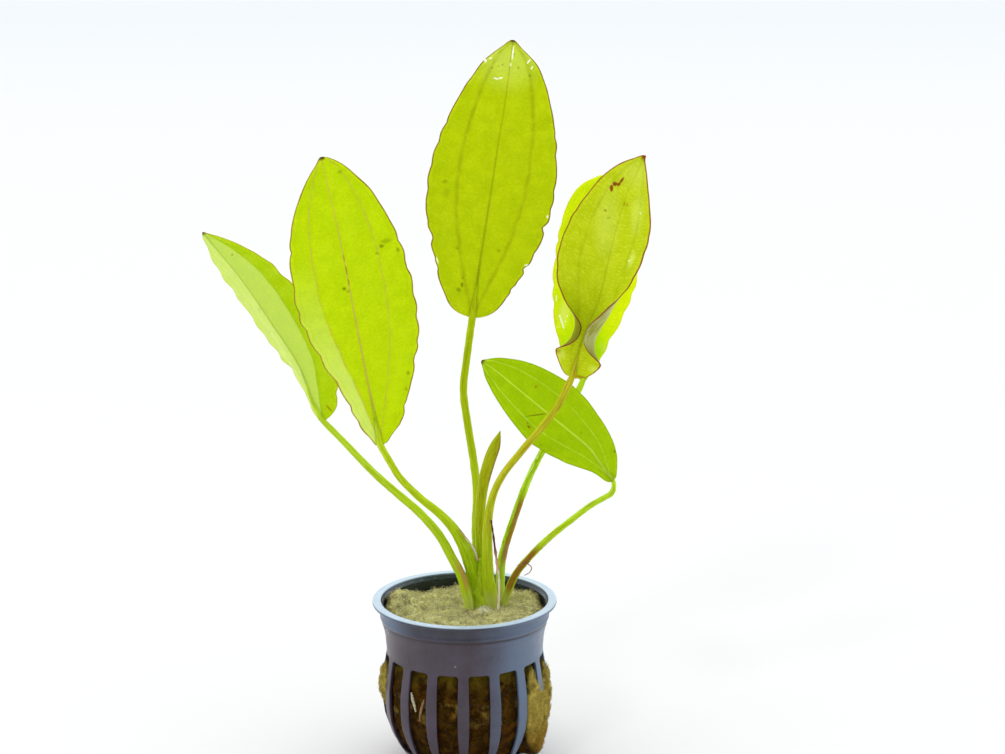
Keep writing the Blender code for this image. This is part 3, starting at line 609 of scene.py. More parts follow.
def leaf_material(number):
    look = LEAF_LOOKS[number]
    s = Shades(f"leaf_{number}_skin")
    across, along, half = s.parts(s.attribute("leaf_place"))
    vein_at, share, front = s.parts(s.attribute("leaf_vein"))
    aside = s.do("ABSOLUTE", across)
    to_margin = s.do("SUBTRACT", half, aside)
    flat = s.vector(across, along, 0.0)
    cloudy = s.noise(flat, 0.22, 4.0, 0.6)
    colour = s.mix(s.ramp(cloudy, 0.35, 0.7), look["main"], look["second"])
    deep = tuple(c * 0.72 for c in look["main"])
    pale = tuple(min(1.0, c * 1.12 + 0.025) for c in look["second"])
    fine = s.noise(flat, 1.6, 4.0, 0.6)
    colour = s.mix(s.ramp(fine, 0.45, 0.8, 0.0, 0.45), colour, deep)
    # Fine net of veins
    warped = s.vector(s.do("ADD", across, fine), s.do("ADD", along, s.noise(flat, 1.1, 2.0)), 0.0)
    colour = s.mix(s.ramp(s.net(warped, 0.8), 0.0, 0.12, look["net"], 0.0), colour, deep)
    # Cross veins climb from the midrib to the side vein, about a millimetre apart
    wavy = s.do("MULTIPLY", s.noise(flat, 0.5, 3.0), 2.6)
    climb = s.do("SUBTRACT", s.do("ADD", along, wavy), s.do("MULTIPLY", aside, 0.42))
    cross = s.ramp(s.do("SINE", s.do("MULTIPLY", climb, math.tau / 1.05)), 0.2, 1.0)
    dashed = s.noise(s.stretched(s.vector(aside, climb, 0.0), (0.8, 0.5, 1.0)), 1.0, 2.0)
    patchy = s.ramp(dashed, 0.42, 0.62, 0.0, 1.0)
    cross = s.do("MULTIPLY", cross, patchy)
    colour = s.mix(s.do("MULTIPLY", cross, look["cross"]), colour, pale)
    # Painted sheen and pale washes lie under the veins, and every other mark over them. painted_sheen is a painted
    # reflection: pale beyond one side vein, fading up the leaf.
    if "painted_sheen" in look:
        border, towards, low, high, strength = look["painted_sheen"]
        beyond = s.do("MULTIPLY", s.do("SUBTRACT", across, s.do("MULTIPLY", vein_at, border)), towards)
        beyond = s.ramp(beyond, -0.1, 0.5, 0.0, strength)
        colour = s.mix(s.do("MULTIPLY", beyond, s.ramp(along, low, high, 1.0, 0.0)), colour, PAINTED_SHEEN_COLOUR)
    marks = LEAF_MARKS[number]
    colour = add_marks(s, colour, flat, fine, [m for m in marks if m[0] == "pale_wash_and_sheen"])
    back = s.mix(s.ramp(cloudy, 0.35, 0.7, 0.0, 0.3), look["back"], deep)
    if "flap" in look:
        back = s.mix(s.do("MULTIPLY", flap_share(s, across, along), look["flap"]), back, FLAP_GREY)
        # Painted shade: the reverse side of leaf 4 darker olive below about 15 mm up, where it curls at the waist
        back = s.mix(s.ramp(along, 9.0, 15.0, 0.8, 0.0), back, FLAP_SHADE_OLIVE)
    colour = s.mix(s.ramp(front, 0.45, 0.55, 0.9, 0.0), colour, back)
    rib_width = s.ramp(share, 0.0, 1.0, 0.28, 0.10)
    rib = s.ramp(aside, rib_width, s.do("ADD", rib_width, 0.15), look["rib_share"], 0.0)
    off_vein = s.do("ABSOLUTE", s.do("SUBTRACT", aside, vein_at))
    side_vein = s.ramp(off_vein, 0.08, look["side_width"], look["side_share"], 0.0)
    broken = s.ramp(s.noise(flat, 0.3, 2.0), 0.3, 0.6, 0.25, 1.0)
    colour = s.mix(s.do("MAXIMUM", rib, s.do("MULTIPLY", side_vein, broken)), colour, look["rib"])
    # Thin margin of another colour, with a faint line inside it
    uneven = s.noise(flat, 0.8, 2.0)
    inside = s.ramp(s.do("ABSOLUTE", s.do("SUBTRACT", to_margin, 1.6)), 0.1, 0.3, 0.15, 0.0)
    colour = s.mix(inside, colour, deep)
    edge = s.ramp(to_margin, 0.2, s.do("ADD", s.do("MULTIPLY", uneven, 0.4), 0.35), look["margin_share"], 0.0)
    colour = s.mix(edge, colour, look["margin"])
    length = Path(LEAVES[number]["midrib"]).length
    at_tip = s.ramp(s.do("ADD", along, fine), length - look["tip_reach"], length + 0.3)
    colour = s.mix(s.do("MULTIPLY", at_tip, s.ramp(aside, 0.6, 1.2, 1.0, 0.0)), colour, look["tip"])
    colour = add_marks(s, colour, flat, fine, [m for m in marks if m[0] != "pale_wash_and_sheen"])
    wet = s.ramp(s.noise(flat, 0.12, 3.0, 0.6), 0.52, 0.6)
    bumps = s.do("ADD", s.do("MULTIPLY", cross, 0.6), s.noise(flat, 2.2, 3.0))
    s.set(
        Base_Color=colour, Roughness=s.do("SUBTRACT", 0.42, s.do("MULTIPLY", wet, 0.2)),
        Subsurface_Weight=0.85, Subsurface_Radius=(1.0, 1.0, 0.35), Subsurface_Scale=0.0012,
        Specular_IOR_Level=0.03, Coat_Weight=s.do("MULTIPLY", wet, 0.06), Coat_Roughness=0.06,
        Normal=s.bump(bumps, 0.25, 0.00012),
    )
    return s.material


def flap_share(s, across, along):
    """Where the reverse side shows grey and streaky, on the curled half above the waist."""
    streaks = s.noise(s.vector(s.do("MULTIPLY", across, 1.3), s.do("MULTIPLY", along, 0.14), 0.0), 1.0, 4.0, 0.7)
    right = s.ramp(across, 1.0, 3.0)
    return s.do("MULTIPLY", s.do("MULTIPLY", s.ramp(streaks, 0.3, 0.6), right), s.ramp(along, 30.0, 40.0, 1.0, 0.0))


def add_marks(s, colour, flat, ragged, marks):
    """The colour with ragged oval marks laid over it."""
    for kind, x, y, wide, long, turn, strength in marks:
        paint, fading = MARK_KINDS[kind]
        out = s.do("ADD", s.oval(flat, x, y, wide, long, turn), s.do("MULTIPLY", ragged, 0.5))
        colour = s.mix(s.ramp(out, fading + 0.25, 1.25, strength, 0.0), colour, paint)
    return colour


def half_section(leaf, side, places, along, seed):
    """Distance out and height at each row and column of one half of a blade, and its half widths."""
    shape = 0 if side == "left" else 1
    width = np.maximum(read_along(leaf[side], places), TIP_HALF_WIDTH)
    depth, pitch, start, end = leaf["scallop"]
    length = along[-1]
    warped = along + 1.6 * wander(along, 3.0 * pitch, seed + 5)
    lobes = 0.64 - np.abs(np.sin(math.pi * warped / pitch))
    within = smooth_step(start, start + 0.08, along / length) * (1.0 - smooth_step(end - 0.1, end, along / length))
    width = width - depth * lobes * within * smooth_step(0.0, 3.0, width)
    for where, share, deep, reach in leaf["notches"]:
        if where == side:
            width = width - deep * np.exp(-((along / length - share) / reach) ** 2)
    width = np.maximum(width, TIP_HALF_WIDTH)
    steps = 1.0 - (1.0 - np.linspace(0.0, 1.0, HALF_COLUMNS + 1)) ** 1.15
    fold = read_along(leaf["fold"][shape], places)[:, None]
    curl = read_along(leaf["curl"][shape], places)[:, None]
    middle = (steps[1:] + steps[:-1]) / 2.0
    angle = np.radians(fold + curl * middle ** 2)
    piece = np.diff(steps)[None, :] * width[:, None]
    out = np.concatenate([np.zeros((len(places), 1)), np.cumsum(piece * np.cos(angle), axis=1)], axis=1)
    up = np.concatenate([np.zeros((len(places), 1)), np.cumsum(piece * np.sin(angle), axis=1)], axis=1)
    height, wave_pitch = leaf["wave"]
    calm = smooth_step(0.0, 4.0, width)[:, None]
    waves = wander(along, wave_pitch, seed)[:, None] * steps[None, :] ** 3
    up = up + height * waves * calm
    return out, up, width, steps


def blade_grid(leaf, seed):
    """Middle surface of a blade: points, normals and the place of each point on the leaf."""
    places = np.linspace(0.0, 1.0, BLADE_ROWS + 1)
    shares = (1.0 - np.cos(math.pi * places)) / 2.0
    midrib = Path(leaf["midrib"])
    along = shares * midrib.length
    heading = midrib.heading(shares)
    start, end = (np.array(f) for f in leaf["facing"])
    facing = start + (end - start) * shares[:, None]
    facing = unit(facing - heading * np.sum(facing * heading, axis=1, keepdims=True))
    side = np.cross(heading, facing)
    halves = []
    for name, sign in (("left", -1.0), ("right", 1.0)):
        out, up, width, steps = half_section(leaf, name, places, along, seed + int(sign))
        points = (
            midrib.at(shares)[:, None, :] + sign * out[..., None] * side[:, None, :]
            + up[..., None] * facing[:, None, :]
        )
        across = sign * steps[None, :] * width[:, None]
        widths = np.broadcast_to(width[:, None], across.shape)
        halves.append((points, across, widths))
    (left, left_across, left_width), (right, right_across, right_width) = halves
    points = np.concatenate([left[:, :0:-1], right], axis=1)
    across = np.concatenate([left_across[:, :0:-1], right_across], axis=1)
    width = np.concatenate([left_width[:, :0:-1], right_width], axis=1)
    normals = unit(np.cross(np.gradient(points, axis=1), np.gradient(points, axis=0)))
    middle = HALF_COLUMNS
    normals *= np.sign(np.sum(normals[:, middle] * facing))
    return points, normals, across, width, along[:, None] + 0 * across, shares[:, None] + 0 * across


def make_blade(number, leaf):
    points, normals, across, width, along, share = blade_grid(leaf, number * 17)
    vein_at = read_along(SIDE_VEIN, (np.arccos(1.0 - 2.0 * share)) / math.pi) * width
    aside = np.abs(across)
    rib_width = between(*MIDRIB_WIDTH, share)
    rib = np.exp(-(aside / rib_width) ** 2)
    side_vein = np.exp(-((aside - vein_at) / 0.35) ** 2) * smooth_step(1.5, 4.0, width)
    ridge = between(*MIDRIB_RIDGE, share ** 0.5) * rib + 0.1 * side_vein
    groove = 0.08 * rib * smooth_step(2.0, 5.0, width) + 0.05 * side_vein
    foot = 1.0 - smooth_step(0.0, 0.06, share)
    groove = groove - 0.55 * foot * rib
    front_up, back_up = (ridge, -groove) if leaf["ridge_in_front"] else (-groove, ridge)
    half = BLADE_THICKNESS / 2.0 * smooth_step(-1.0, 1.2, width - aside + 0.2)
    front = points + normals * (half + front_up)[..., None]
    back = points - normals * (half + back_up)[..., None]
    place = np.stack([across, along, width], axis=-1).reshape(-1, 3)
    face = np.ones_like(aside)
    front_vein = np.stack([vein_at, share, face], axis=-1).reshape(-1, 3)
    back_vein = np.stack([vein_at, share, 0.0 * face], axis=-1).reshape(-1, 3)
    rows, columns = points.shape[:2]
    return add_piece(
        f"leaf_{number}_blade", np.concatenate([front.reshape(-1, 3), back.reshape(-1, 3)]),
        sheet_faces(rows, columns), leaf_material(number), (f"blade_{number}",),
        {"leaf_place": np.concatenate([place, place]), "leaf_vein": np.concatenate([front_vein, back_vein])},
    )


# Stalks: colours at the foot and at the blade, colour and strength of their streaks and the height
# from which they show, gloss of the wet film, and dark spots as (right of the middle, up from the
# foot, radius). edge: colour, side (1 right, -1 left), heights between which it shows, strength.
RED_BROWN = srgb(150, 70, 34)
STALK_LOOKS = {
    1: dict(
        foot=srgb(184, 208, 22), top=srgb(186, 212, 40), streak=srgb(150, 168, 30), streak_share=0.4, streak_from=0.0,
        gloss=0.12, spots=(), edge=(srgb(196, 130, 80), 1, 6.0, 19.0, 0.7),
    ),
    2: dict(
        foot=srgb(166, 198, 12), top=srgb(192, 212, 26), streak=srgb(110, 150, 10), streak_share=0.5, streak_from=0.0,
        # Stalk 2's edge: a darker green left side, painted shade
        gloss=0.1, spots=(), edge=(srgb(96, 136, 6), -1, 10.0, 34.0, 0.5),
    ),
    3: dict(
        foot=srgb(184, 206, 30), top=srgb(184, 200, 8), streak=srgb(130, 146, 12), streak_share=0.45, streak_from=0.0,
        gloss=0.06, spots=((0.2, 62.0, 0.3),), edge=(srgb(226, 232, 190), -1, 20.0, 40.0, 0.45),
    ),
    4: dict(
        foot=srgb(180, 204, 26), top=srgb(190, 184, 26), streak=srgb(158, 104, 40), streak_share=0.7, streak_from=24.0,
        gloss=0.12, spots=(), edge=(RED_BROWN, 1, 42.0, 74.0, 0.6),
    ),
    5: dict(
        foot=srgb(172, 204, 20), top=srgb(190, 222, 24), streak=srgb(70, 112, 8), streak_share=0.6, streak_from=12.0,
        gloss=0.8, spots=((0.2, 33.0, 0.5), (-0.3, 35.0, 0.4), (0.4, 38.0, 0.3)),
        edge=(RED_BROWN, -1, 10.0, 36.0, 0.75),
    ),
    6: dict(
        foot=srgb(182, 200, 24), top=srgb(190, 222, 34), streak=srgb(112, 104, 16), streak_share=0.6, streak_from=2.0,
        gloss=0.3, spots=((0.1, 24.6, 0.5), (-0.1, 26.0, 0.45), (-0.5, 18.6, 0.35), (0.1, 27.6, 0.35)),
        edge=(RED_BROWN, -1, 4.0, 26.0, 0.8),
    ),
}
YOUNG_LOOK = dict(
    foot=srgb(170, 194, 14), top=srgb(174, 180, 10), streak=srgb(140, 106, 14), streak_share=0.6, streak_from=10.0,
    gloss=0.1, spots=(), edge=(srgb(136, 70, 20), 1, 34.0, 70.0, 0.8),
)
CROWN_LOOK = dict(
    foot=srgb(196, 206, 66), top=srgb(176, 200, 22), streak=srgb(124, 156, 14), streak_share=0.6, streak_from=0.0,
    gloss=0.1, spots=(), edge=(srgb(150, 180, 20), 1, 0.0, 1.0, 0.1),
)
FOOT_COLOUR = srgb(204, 208, 110)


def stalk_material(name, look, length):
    s = Shades(name)
    skin = s.attribute("skin")
    x, y, along = s.parts(skin)
    foot, top = look["foot"], look["top"]
    streaks = s.noise(s.stretched(skin, (2.4, 2.4, 0.10)), 1.0, 4.0, 0.6)
    lines = s.noise(s.stretched(skin, (3.4, 3.4, 0.14)), 1.0, 3.0, 0.6)
    height = s.ramp(along, 0.0, length * 0.7)
    colour = s.mix(height, foot, top)
    pale = tuple(min(1.0, c * 1.25 + 0.05) for c in top)
    colour = s.mix(s.ramp(streaks, 0.32, 0.52, 0.6, 0.0), colour, tuple(c * 0.66 for c in foot))
    colour = s.mix(s.ramp(streaks, 0.52, 0.75, 0.0, 0.6), colour, pale)
    from_height = look["streak_from"]
    shown = s.ramp(along, from_height - 4.0, from_height + 8.0)
    streaked = s.do("MULTIPLY", s.ramp(lines, 0.52, 0.66, 0.0, look["streak_share"]), shown)
    colour = s.mix(streaked, colour, look["streak"])
    # One side of the stalk in another colour: a dried edge on most stalks, a darker green left side on stalk 2 as
    # painted shade, and a pale left side on stalk 3
    paint, side, low, high, strength = look["edge"]
    round_at = s.do("DIVIDE", x, s.do("SQRT", s.do("ADD", s.do("MULTIPLY", x, x), s.do("MULTIPLY", y, y))))
    aside = s.do("ADD", s.do("MULTIPLY", round_at, side), s.do("MULTIPLY", streaks, 0.5))
    within = s.do("MULTIPLY", s.ramp(along, low, low + 5.0), s.ramp(along, high - 5.0, high, 1.0, 0.0))
    colour = s.mix(s.do("MULTIPLY", s.ramp(aside, 0.8, 1.1, 0.0, strength), within), colour, paint)
    colour = s.mix(s.ramp(s.do("ADD", along, s.do("MULTIPLY", streaks, 4.0)), 5.0, 11.0, 0.6, 0.0), colour, FOOT_COLOUR)
    specks = s.spots(s.stretched(skin, (1.0, 1.0, 0.35)), 0.55)
    colour = s.mix(s.do("MULTIPLY", s.ramp(specks, 0.08, 0.16, 0.5, 0.0), shown), colour, look["streak"])
    for aside, up, radius in look["spots"]:
        out = s.do("ADD", s.distance(skin, (aside, 1.0, up)), s.do("MULTIPLY", lines, 0.5))
        colour = s.mix(s.ramp(out, radius + 0.15, radius + 0.5, 0.9, 0.0), colour, srgb(60, 66, 10))
    wet = s.ramp(s.noise(s.stretched(skin, (1.0, 1.0, 0.2)), 0.6, 2.0), 0.45, 0.6)
    s.set(
        Base_Color=colour, Roughness=s.do("SUBTRACT", 0.4, s.do("MULTIPLY", wet, 0.22)),
        Subsurface_Weight=0.35, Subsurface_Radius=(1.0, 1.0, 0.3), Subsurface_Scale=0.0012,
        Specular_IOR_Level=0.03, Coat_Weight=s.do("MULTIPLY", wet, look["gloss"]), Coat_Roughness=0.05,
        Normal=s.bump(streaks, 0.3, 0.0002),
    )
    return s.material


# A stalk goes on under its blade as the midrib: shares of the blade's length, and its depth there
TAIL_SHARES = (0.04, 0.10, 0.18)
TAIL_DEPTHS = (0.25, 0.35, 0.30)
TAIL_TAPER = 14.0


def make_stalk(number, leaf):
    route = list(leaf["stalk"])
    low = np.array(route[0]) + (0.0, 0.0, -3.0)
    midrib = Path(leaf["midrib"])
    behind = -1.0 if leaf["ridge_in_front"] else 1.0
    facing = np.array(leaf["facing"][0])
    tail = [
        tuple(midrib.at(np.array(share)) - behind * depth * facing) for share, depth in zip(TAIL_SHARES, TAIL_DEPTHS)
    ]
    route = [tuple(low), *route, *tail]
    flat = (1.15, 1.08, 1.0, 1.0, 1.0, 1.0, 1.0, 1.0, 1.0, 1.0, 1.0)
    outwards = np.array([*(np.array(route[1][:2]) - CROWN_CENTRE), 0.0])
    towards = unit(outwards + np.array([0.0, -0.8, 0.0]))
    points, skin, faces = tube_points(
        route, leaf["radii"], 28, flat, number, 0.03, 0.7, towards, TAIL_TAPER,
    )
    length = Path(route).length
    return add_piece(
        f"leaf_{number}_stalk", points, faces, stalk_material(f"stalk_{number}_skin", STALK_LOOKS[number], length),
        (f"stalk_{number}",), {"skin": skin},
    )


def make_young_leaf():
    """The youngest leaf, a rolled cone whose outer edge shows as a step along it."""
    path = Path(YOUNG_ROUTE)
    rings, sides = 110, 36
    shares = np.linspace(0.0, 1.0, rings)
    heading = path.heading(shares)
    side = unit(np.cross(heading, np.array([0.0, -1.0, 0.0])))
    front = np.cross(side, heading)
    radius = np.maximum(read_along(YOUNG_RADII, shares), 0.1)[:, None]
    turn = np.linspace(0.0, 1.0, sides, endpoint=False)[None, :]
    seam = math.radians(200) + 0.5 * shares[:, None]
    around = seam + turn * math.tau
    step = 0.26 * (turn - 0.5) * np.minimum(1.0, radius)
    reach = radius + step
    points = (
        path.at(shares)[:, None, :] + (reach * np.cos(around))[..., None] * side[:, None, :]
        + (reach * np.sin(around))[..., None] * front[:, None, :]
    )
    along = (shares * path.length)[:, None] + 0 * around
    skin = np.stack([radius * np.cos(around), radius * np.sin(around), along], axis=-1)
    material = stalk_material("young_leaf_skin", YOUNG_LOOK, path.length)
    return add_piece(
        "young_leaf_roll", points.reshape(-1, 3), tube_faces(rings, sides), material,
        ("young_leaf",), {"skin": skin.reshape(-1, 3)},
    )


def make_crown():
    """The stump under the wool, and the blended leaf bases that rise from it between the stalks."""
    route = ((6.3, 4.3, 40.0), (6.3, 4.3, 44.0), (5.9, 3.6, 48.0), (5.5, 3.0, 52.5), (5.1, 2.7, 57.0), (4.8, 2.6, 61.5))
    radii = (3.6, 5.0, 4.0, 3.0, 2.1, 0.5)
    points, skin, faces = tube_points(route, radii, 40, seed=4, rough=0.08, ring_step=0.4)
    material = stalk_material("crown_skin", CROWN_LOOK, 20.0)
    return add_piece("crown_stump", points, faces, material, ("crown",), {"skin": skin})


# Dried sheaths, roots and filament

def dried_material(name, top, middle, foot, low, high):
    """Thin brown skin: colours by height, in millimetres, with streaks."""
    s = Shades(name)
    place = s.stretched(s.place(), (1000.0, 1000.0, 1000.0))
    height = s.parts(place)[2]
    streaks = s.noise(s.stretched(place, (2.5, 2.5, 0.35)), 1.0, 4.0, 0.65)
    colour = s.mix(s.ramp(height, low, between(low, high, 0.4)), foot, middle)
    colour = s.mix(s.ramp(height, between(low, high, 0.5), high), colour, top)
    colour = s.mix(s.ramp(streaks, 0.3, 0.55, 0.5, 0.0), colour, tuple(c * 0.6 for c in middle))
    rim = s.parts(s.attribute("strip"))[0]
    colour = s.mix(s.ramp(s.do("ADD", rim, s.do("MULTIPLY", streaks, 0.4)), 0.85, 1.1, 0.0, 0.8), colour, RED_BROWN)
    s.set(
        Base_Color=colour, Roughness=s.ramp(streaks, 0.3, 0.7, 0.45, 0.7), Subsurface_Weight=0.2,
        Subsurface_Radius=(1.0, 0.6, 0.4), Subsurface_Scale=0.0005, Specular_IOR_Level=0.3,
        Normal=s.bump(streaks, 0.5, 0.0002),
    )
    return s.material


def make_strip(name, route, half_width, material, node, seed):
    """A thin dried band that follows a route, cupped and crumpled."""
    path = Path(route)
    rows, columns = max(20, round(path.length / 0.4)), 9
    shares = np.linspace(0.0, 1.0, rows)[:, None]
    across = np.linspace(-1.0, 1.0, columns)[None, :]
    heading = path.heading(shares[:, 0])
    side = unit(np.cross(heading, np.array([0.0, -1.0, 0.0])))
    front = np.cross(side, heading)
    along = shares * path.length
    width = half_width * (1.0 - 0.6 * shares) * (1.0 + 0.25 * wander(along, 3.5, seed))
    lift = 0.25 * across ** 2 + 0.12 * wander(along + across, 2.2, seed + 3)
    middle = (
        path.at(shares[:, 0])[:, None, :] + (across * width)[..., None] * side[:, None, :]
        + lift[..., None] * front[:, None, :]
    )
    shift = front[:, None, :] * SHEATH_THICKNESS / 2.0
    points = np.concatenate([(middle + shift).reshape(-1, 3), (middle - shift).reshape(-1, 3)])
    off = np.broadcast_to(np.abs(across), (rows, columns)).ravel()
    strip = np.stack([off, 0.0 * off, 0.0 * off], axis=-1)
    return add_piece(
        name, points, sheet_faces(rows, columns), material, (node,), {"strip": np.concatenate([strip, strip])},
    )


def root_material(name, colour):
    s = Shades(name)
    place = s.stretched(s.place(), (1000.0, 1000.0, 1000.0))
    patches = s.noise(place, 1.4, 4.0, 0.6)
    dark = tuple(c * 0.5 for c in colour)
    s.set(
        Base_Color=s.mix(s.ramp(patches, 0.35, 0.7), dark, colour), Roughness=s.ramp(patches, 0.3, 0.7, 0.3, 0.6),
        Subsurface_Weight=0.3, Subsurface_Radius=(1.0, 0.8, 0.5), Subsurface_Scale=0.0005,
        Normal=s.bump(patches, 0.4, 0.0001),
    )
    return s.material


def make_thread(name, route, radii, material, node=None, sides=10):
    points, skin, faces = tube_points(route, radii, sides, seed=2, rough=0.1, ring_step=0.25)
    return add_piece(name, points, faces, material, (node,) if node else ())


# Rock wool

def wall_line(height):
    """Outer radius of the pot's wall at a height, and how much it slopes there."""
    radii, heights = (np.array(row) for row in zip(*reversed(POT_LINE)))
    radius = np.interp(height, heights, radii)
    return radius, (np.interp(height + 0.1, heights, radii) - radius) / 0.1


def wool_outline():
    """Rings of the plug, from the middle of its top to the middle of its bottom, at even steps."""
    wall = []
    for height in WOOL_WALL_HEIGHTS:
        radius, slope = wall_line(height)
        wall.append((radius - (WALL + WOOL_GAP) * math.hypot(1.0, slope), height))
    line = np.array([*WOOL_TOP_LINE, *wall, *WOOL_BOTTOM_LINE])
    lengths = np.concatenate([[0.0], np.cumsum(np.linalg.norm(np.diff(line, axis=0), axis=1))])
    steps = np.linspace(0.0, lengths[-1], round(lengths[-1] / WOOL_RING_STEP) + 1)[1:-1]
    return np.interp(steps, lengths, line[:, 0]), np.interp(steps, lengths, line[:, 1])


def pad_radius(radius, around, height):
    """Radius of the wool where a pad of it presses out of a slot, or nothing elsewhere."""
    reach = np.zeros(np.shape(radius + around))
    for degrees, far, middle, half_height, half_width in WOOL_PADS:
        off = (around - math.radians(degrees) + math.pi) % math.tau - math.pi
        sideways = radius * np.sin(off) / half_width
        upright = (height - middle) / half_height
        inside = np.clip(1.0 - sideways ** 2 - upright ** 2, 0.0, 1.0) * (np.abs(off) < 0.5)
        reach = np.maximum(reach, (PAD_CENTRE + (far - PAD_CENTRE) * np.sqrt(inside)) * (inside > 0.0))
    return reach


def wool_surface():
    """Points and outward directions of the wool's surface, ring by ring."""
    rings, heights = wool_outline()
    around = np.linspace(0.0, math.tau, WOOL_AROUND, endpoint=False)[None, :]
    radius = rings[:, None] + 0 * around
    height = heights[:, None] + 0 * around
    x, y = radius * np.sin(around), -radius * np.cos(around)
    lift = sum(h * np.exp(-((x - cx) ** 2 + (y - cy) ** 2) / size ** 2) for cx, cy, h, size in WOOL_LUMPS)
    radius = np.maximum(radius, pad_radius(radius, around, height))
    height = height + np.where(height > WOOL_LUMPS_FROM, lift, 0.0)
    points = np.stack([radius * np.sin(around), -radius * np.cos(around), height], axis=-1)
    down = np.gradient(points, axis=0)
    sideways = np.roll(points, -1, axis=1) - np.roll(points, 1, axis=1)
    normals = unit(np.cross(down, sideways))
    return points, normals


def wool_relief(point):
    """Height of the matted wool above its plain surface, from tufts down to single strands."""
    tufts = noise.fractal(Vector(point) * 0.3, 0.9, 2.0, 4)
    strands = noise.ridged_multi_fractal(Vector(point) * 0.9, 1.0, 2.1, 4, 1.0, 2.0)
    return 1.05 * tufts + 0.45 * (strands - 1.2)


def make_wool():
    points, normals = wool_surface()
    rings, sides = points.shape[:2]
    flat = points.reshape(-1, 3)
    relief = np.array([wool_relief(p) for p in flat]).reshape(rings, sides, 1)
    heights = points[..., 2:3]
    radius, _ = wall_line(heights)
    inside = np.hypot(points[..., 0:1], points[..., 1:2]) < radius - 0.6
    calm = np.where(heights < 43.5, np.where(inside, 0.5, 0.6), 1.0)
    shaped = points + normals * relief * calm
    faces = tube_faces(rings, sides)
    skin = np.concatenate([relief, normals[..., 2:3], 0 * relief], axis=-1)
    plug = add_piece(
        "wool_plug", shaped.reshape(-1, 3), faces, wool_material("wool_skin", False), ("rock_wool",),
        {"wool": skin.reshape(-1, 3)},
    )
    return plug, shaped, normals


WOOL_PALE = srgb(255, 248, 186)
WOOL_MAIN = srgb(222, 210, 120)
WOOL_DARK = srgb(136, 120, 44)
WOOL_YELLOW = srgb(152, 122, 10)
WOOL_HOLLOW_SHADE = srgb(70, 54, 12)
SLOT_DARK = srgb(44, 22, 0)
SLOT_BROWN = srgb(84, 52, 6)
SLOT_OLIVE = srgb(100, 86, 14)
BULGE_DARK = srgb(160, 128, 22)
BULGE_PALE = srgb(244, 226, 120)
BULGE_LOW = srgb(170, 118, 10)
# Direction from the middle of the pot to where the wool is yellow-brown at the wall
YELLOW_SIDE = (-0.82, -0.57)
TUFT = (6.0, -4.3, 48.6)


def wool_material(name, fibres):
    """Olive and beige on top; dark behind the front slots, partly wet wool and partly painted shade; ochre where it
    bulges out.
    """
    s = Shades(name)
    place = s.stretched(s.place(), (1000.0, 1000.0, 1000.0))
    x, y, height = s.parts(place)
    raised = s.parts(s.attribute("wool"))[0]
    out = s.do("SQRT", s.do("ADD", s.do("MULTIPLY", x, x), s.do("MULTIPLY", y, y)))
    clumps = s.noise(place, 0.35, 4.0, 0.6)
    strands = s.noise(s.stretched(place, (1.0, 1.0, 1.6)), 2.6, 5.0, 0.7, 1.2)
    top = s.mix(s.ramp(clumps, 0.35, 0.6), WOOL_DARK, WOOL_MAIN)
    top = s.mix(s.ramp(strands, 0.42, 0.66), top, WOOL_PALE)
    near_tuft = s.do("ADD", s.distance(place, TUFT), s.do("MULTIPLY", strands, 2.0))
    top = s.mix(s.ramp(near_tuft, 2.2, 4.0, 0.6, 0.0), top, srgb(255, 250, 214))
    leaning = s.do("ADD", s.do("MULTIPLY", x, YELLOW_SIDE[0]), s.do("MULTIPLY", y, YELLOW_SIDE[1]))
    at_wall = s.ramp(s.do("ADD", leaning, s.do("MULTIPLY", clumps, 3.0)), 21.0, 22.6, 0.0, 0.9)
    top = s.mix(at_wall, top, WOOL_YELLOW)
    at_edge = s.ramp(s.do("ADD", out, s.do("MULTIPLY", clumps, 3.0)), 23.0, 24.6, 0.0, 0.7)
    top = s.mix(at_edge, top, WOOL_YELLOW)
    # Painted shade: darker where the strands' bump is low
    top = s.mix(s.ramp(strands, 0.28, 0.45, 0.75, 0.0), top, WOOL_HOLLOW_SHADE)
    # Wool in the slots: dark brown, partly wet wool and partly painted shade, and near black as painted shade where the
    # strands' bump is low
    low = s.mix(s.ramp(clumps, 0.42, 0.62), SLOT_DARK, SLOT_BROWN)
    olive = s.ramp(s.do("ADD", height, s.do("MULTIPLY", clumps, 16.0)), 36.0, 43.5, 0.0, 0.9)
    low = s.mix(olive, low, SLOT_OLIVE)
    low = s.mix(s.ramp(strands, 0.5, 0.75, 0.0, 0.35), low, srgb(116, 84, 20))
    low = s.mix(s.ramp(strands, 0.3, 0.45, 0.5, 0.0), low, srgb(20, 10, 0))
    bulge = s.mix(s.ramp(strands, 0.35, 0.7), BULGE_DARK, BULGE_PALE)
    bulge = s.mix(s.ramp(s.do("ADD", height, s.do("MULTIPLY", clumps, 8.0)), 12.0, 22.0, 0.7, 0.0), bulge, BULGE_LOW)
    low = s.mix(s.ramp(out, 23.4, 24.6), low, bulge)
    colour = s.mix(s.ramp(height, 41.0, 44.5), low, top)
    # Painted shade: darker where the relief of the plug is low
    colour = s.mix(s.ramp(raised, -0.8, 0.0, 0.6, 0.0), colour, WOOL_HOLLOW_SHADE)
    if fibres:
        # Fibres paler towards the top and darker in the slots, with the slots' painted shade
        lighter = s.ramp(height, 38.0, 44.0, 0.08, 0.75)
        paler = s.do("MULTIPLY", lighter, s.ramp(s.noise(place, 0.9, 2.0), 0.4, 0.6))
        colour = s.mix(paler, colour, WOOL_PALE)
    s.set(
        Base_Color=colour, Roughness=s.ramp(strands, 0.3, 0.7, 0.6, 0.95),
        Specular_IOR_Level=s.ramp(height, 38.0, 44.0, 0.04, 0.15), Normal=s.bump(strands, 0.8, 0.0005),
    )
    return s.material


FIBRE_STEPS = 4
FIBRE_RADIUS = 0.055


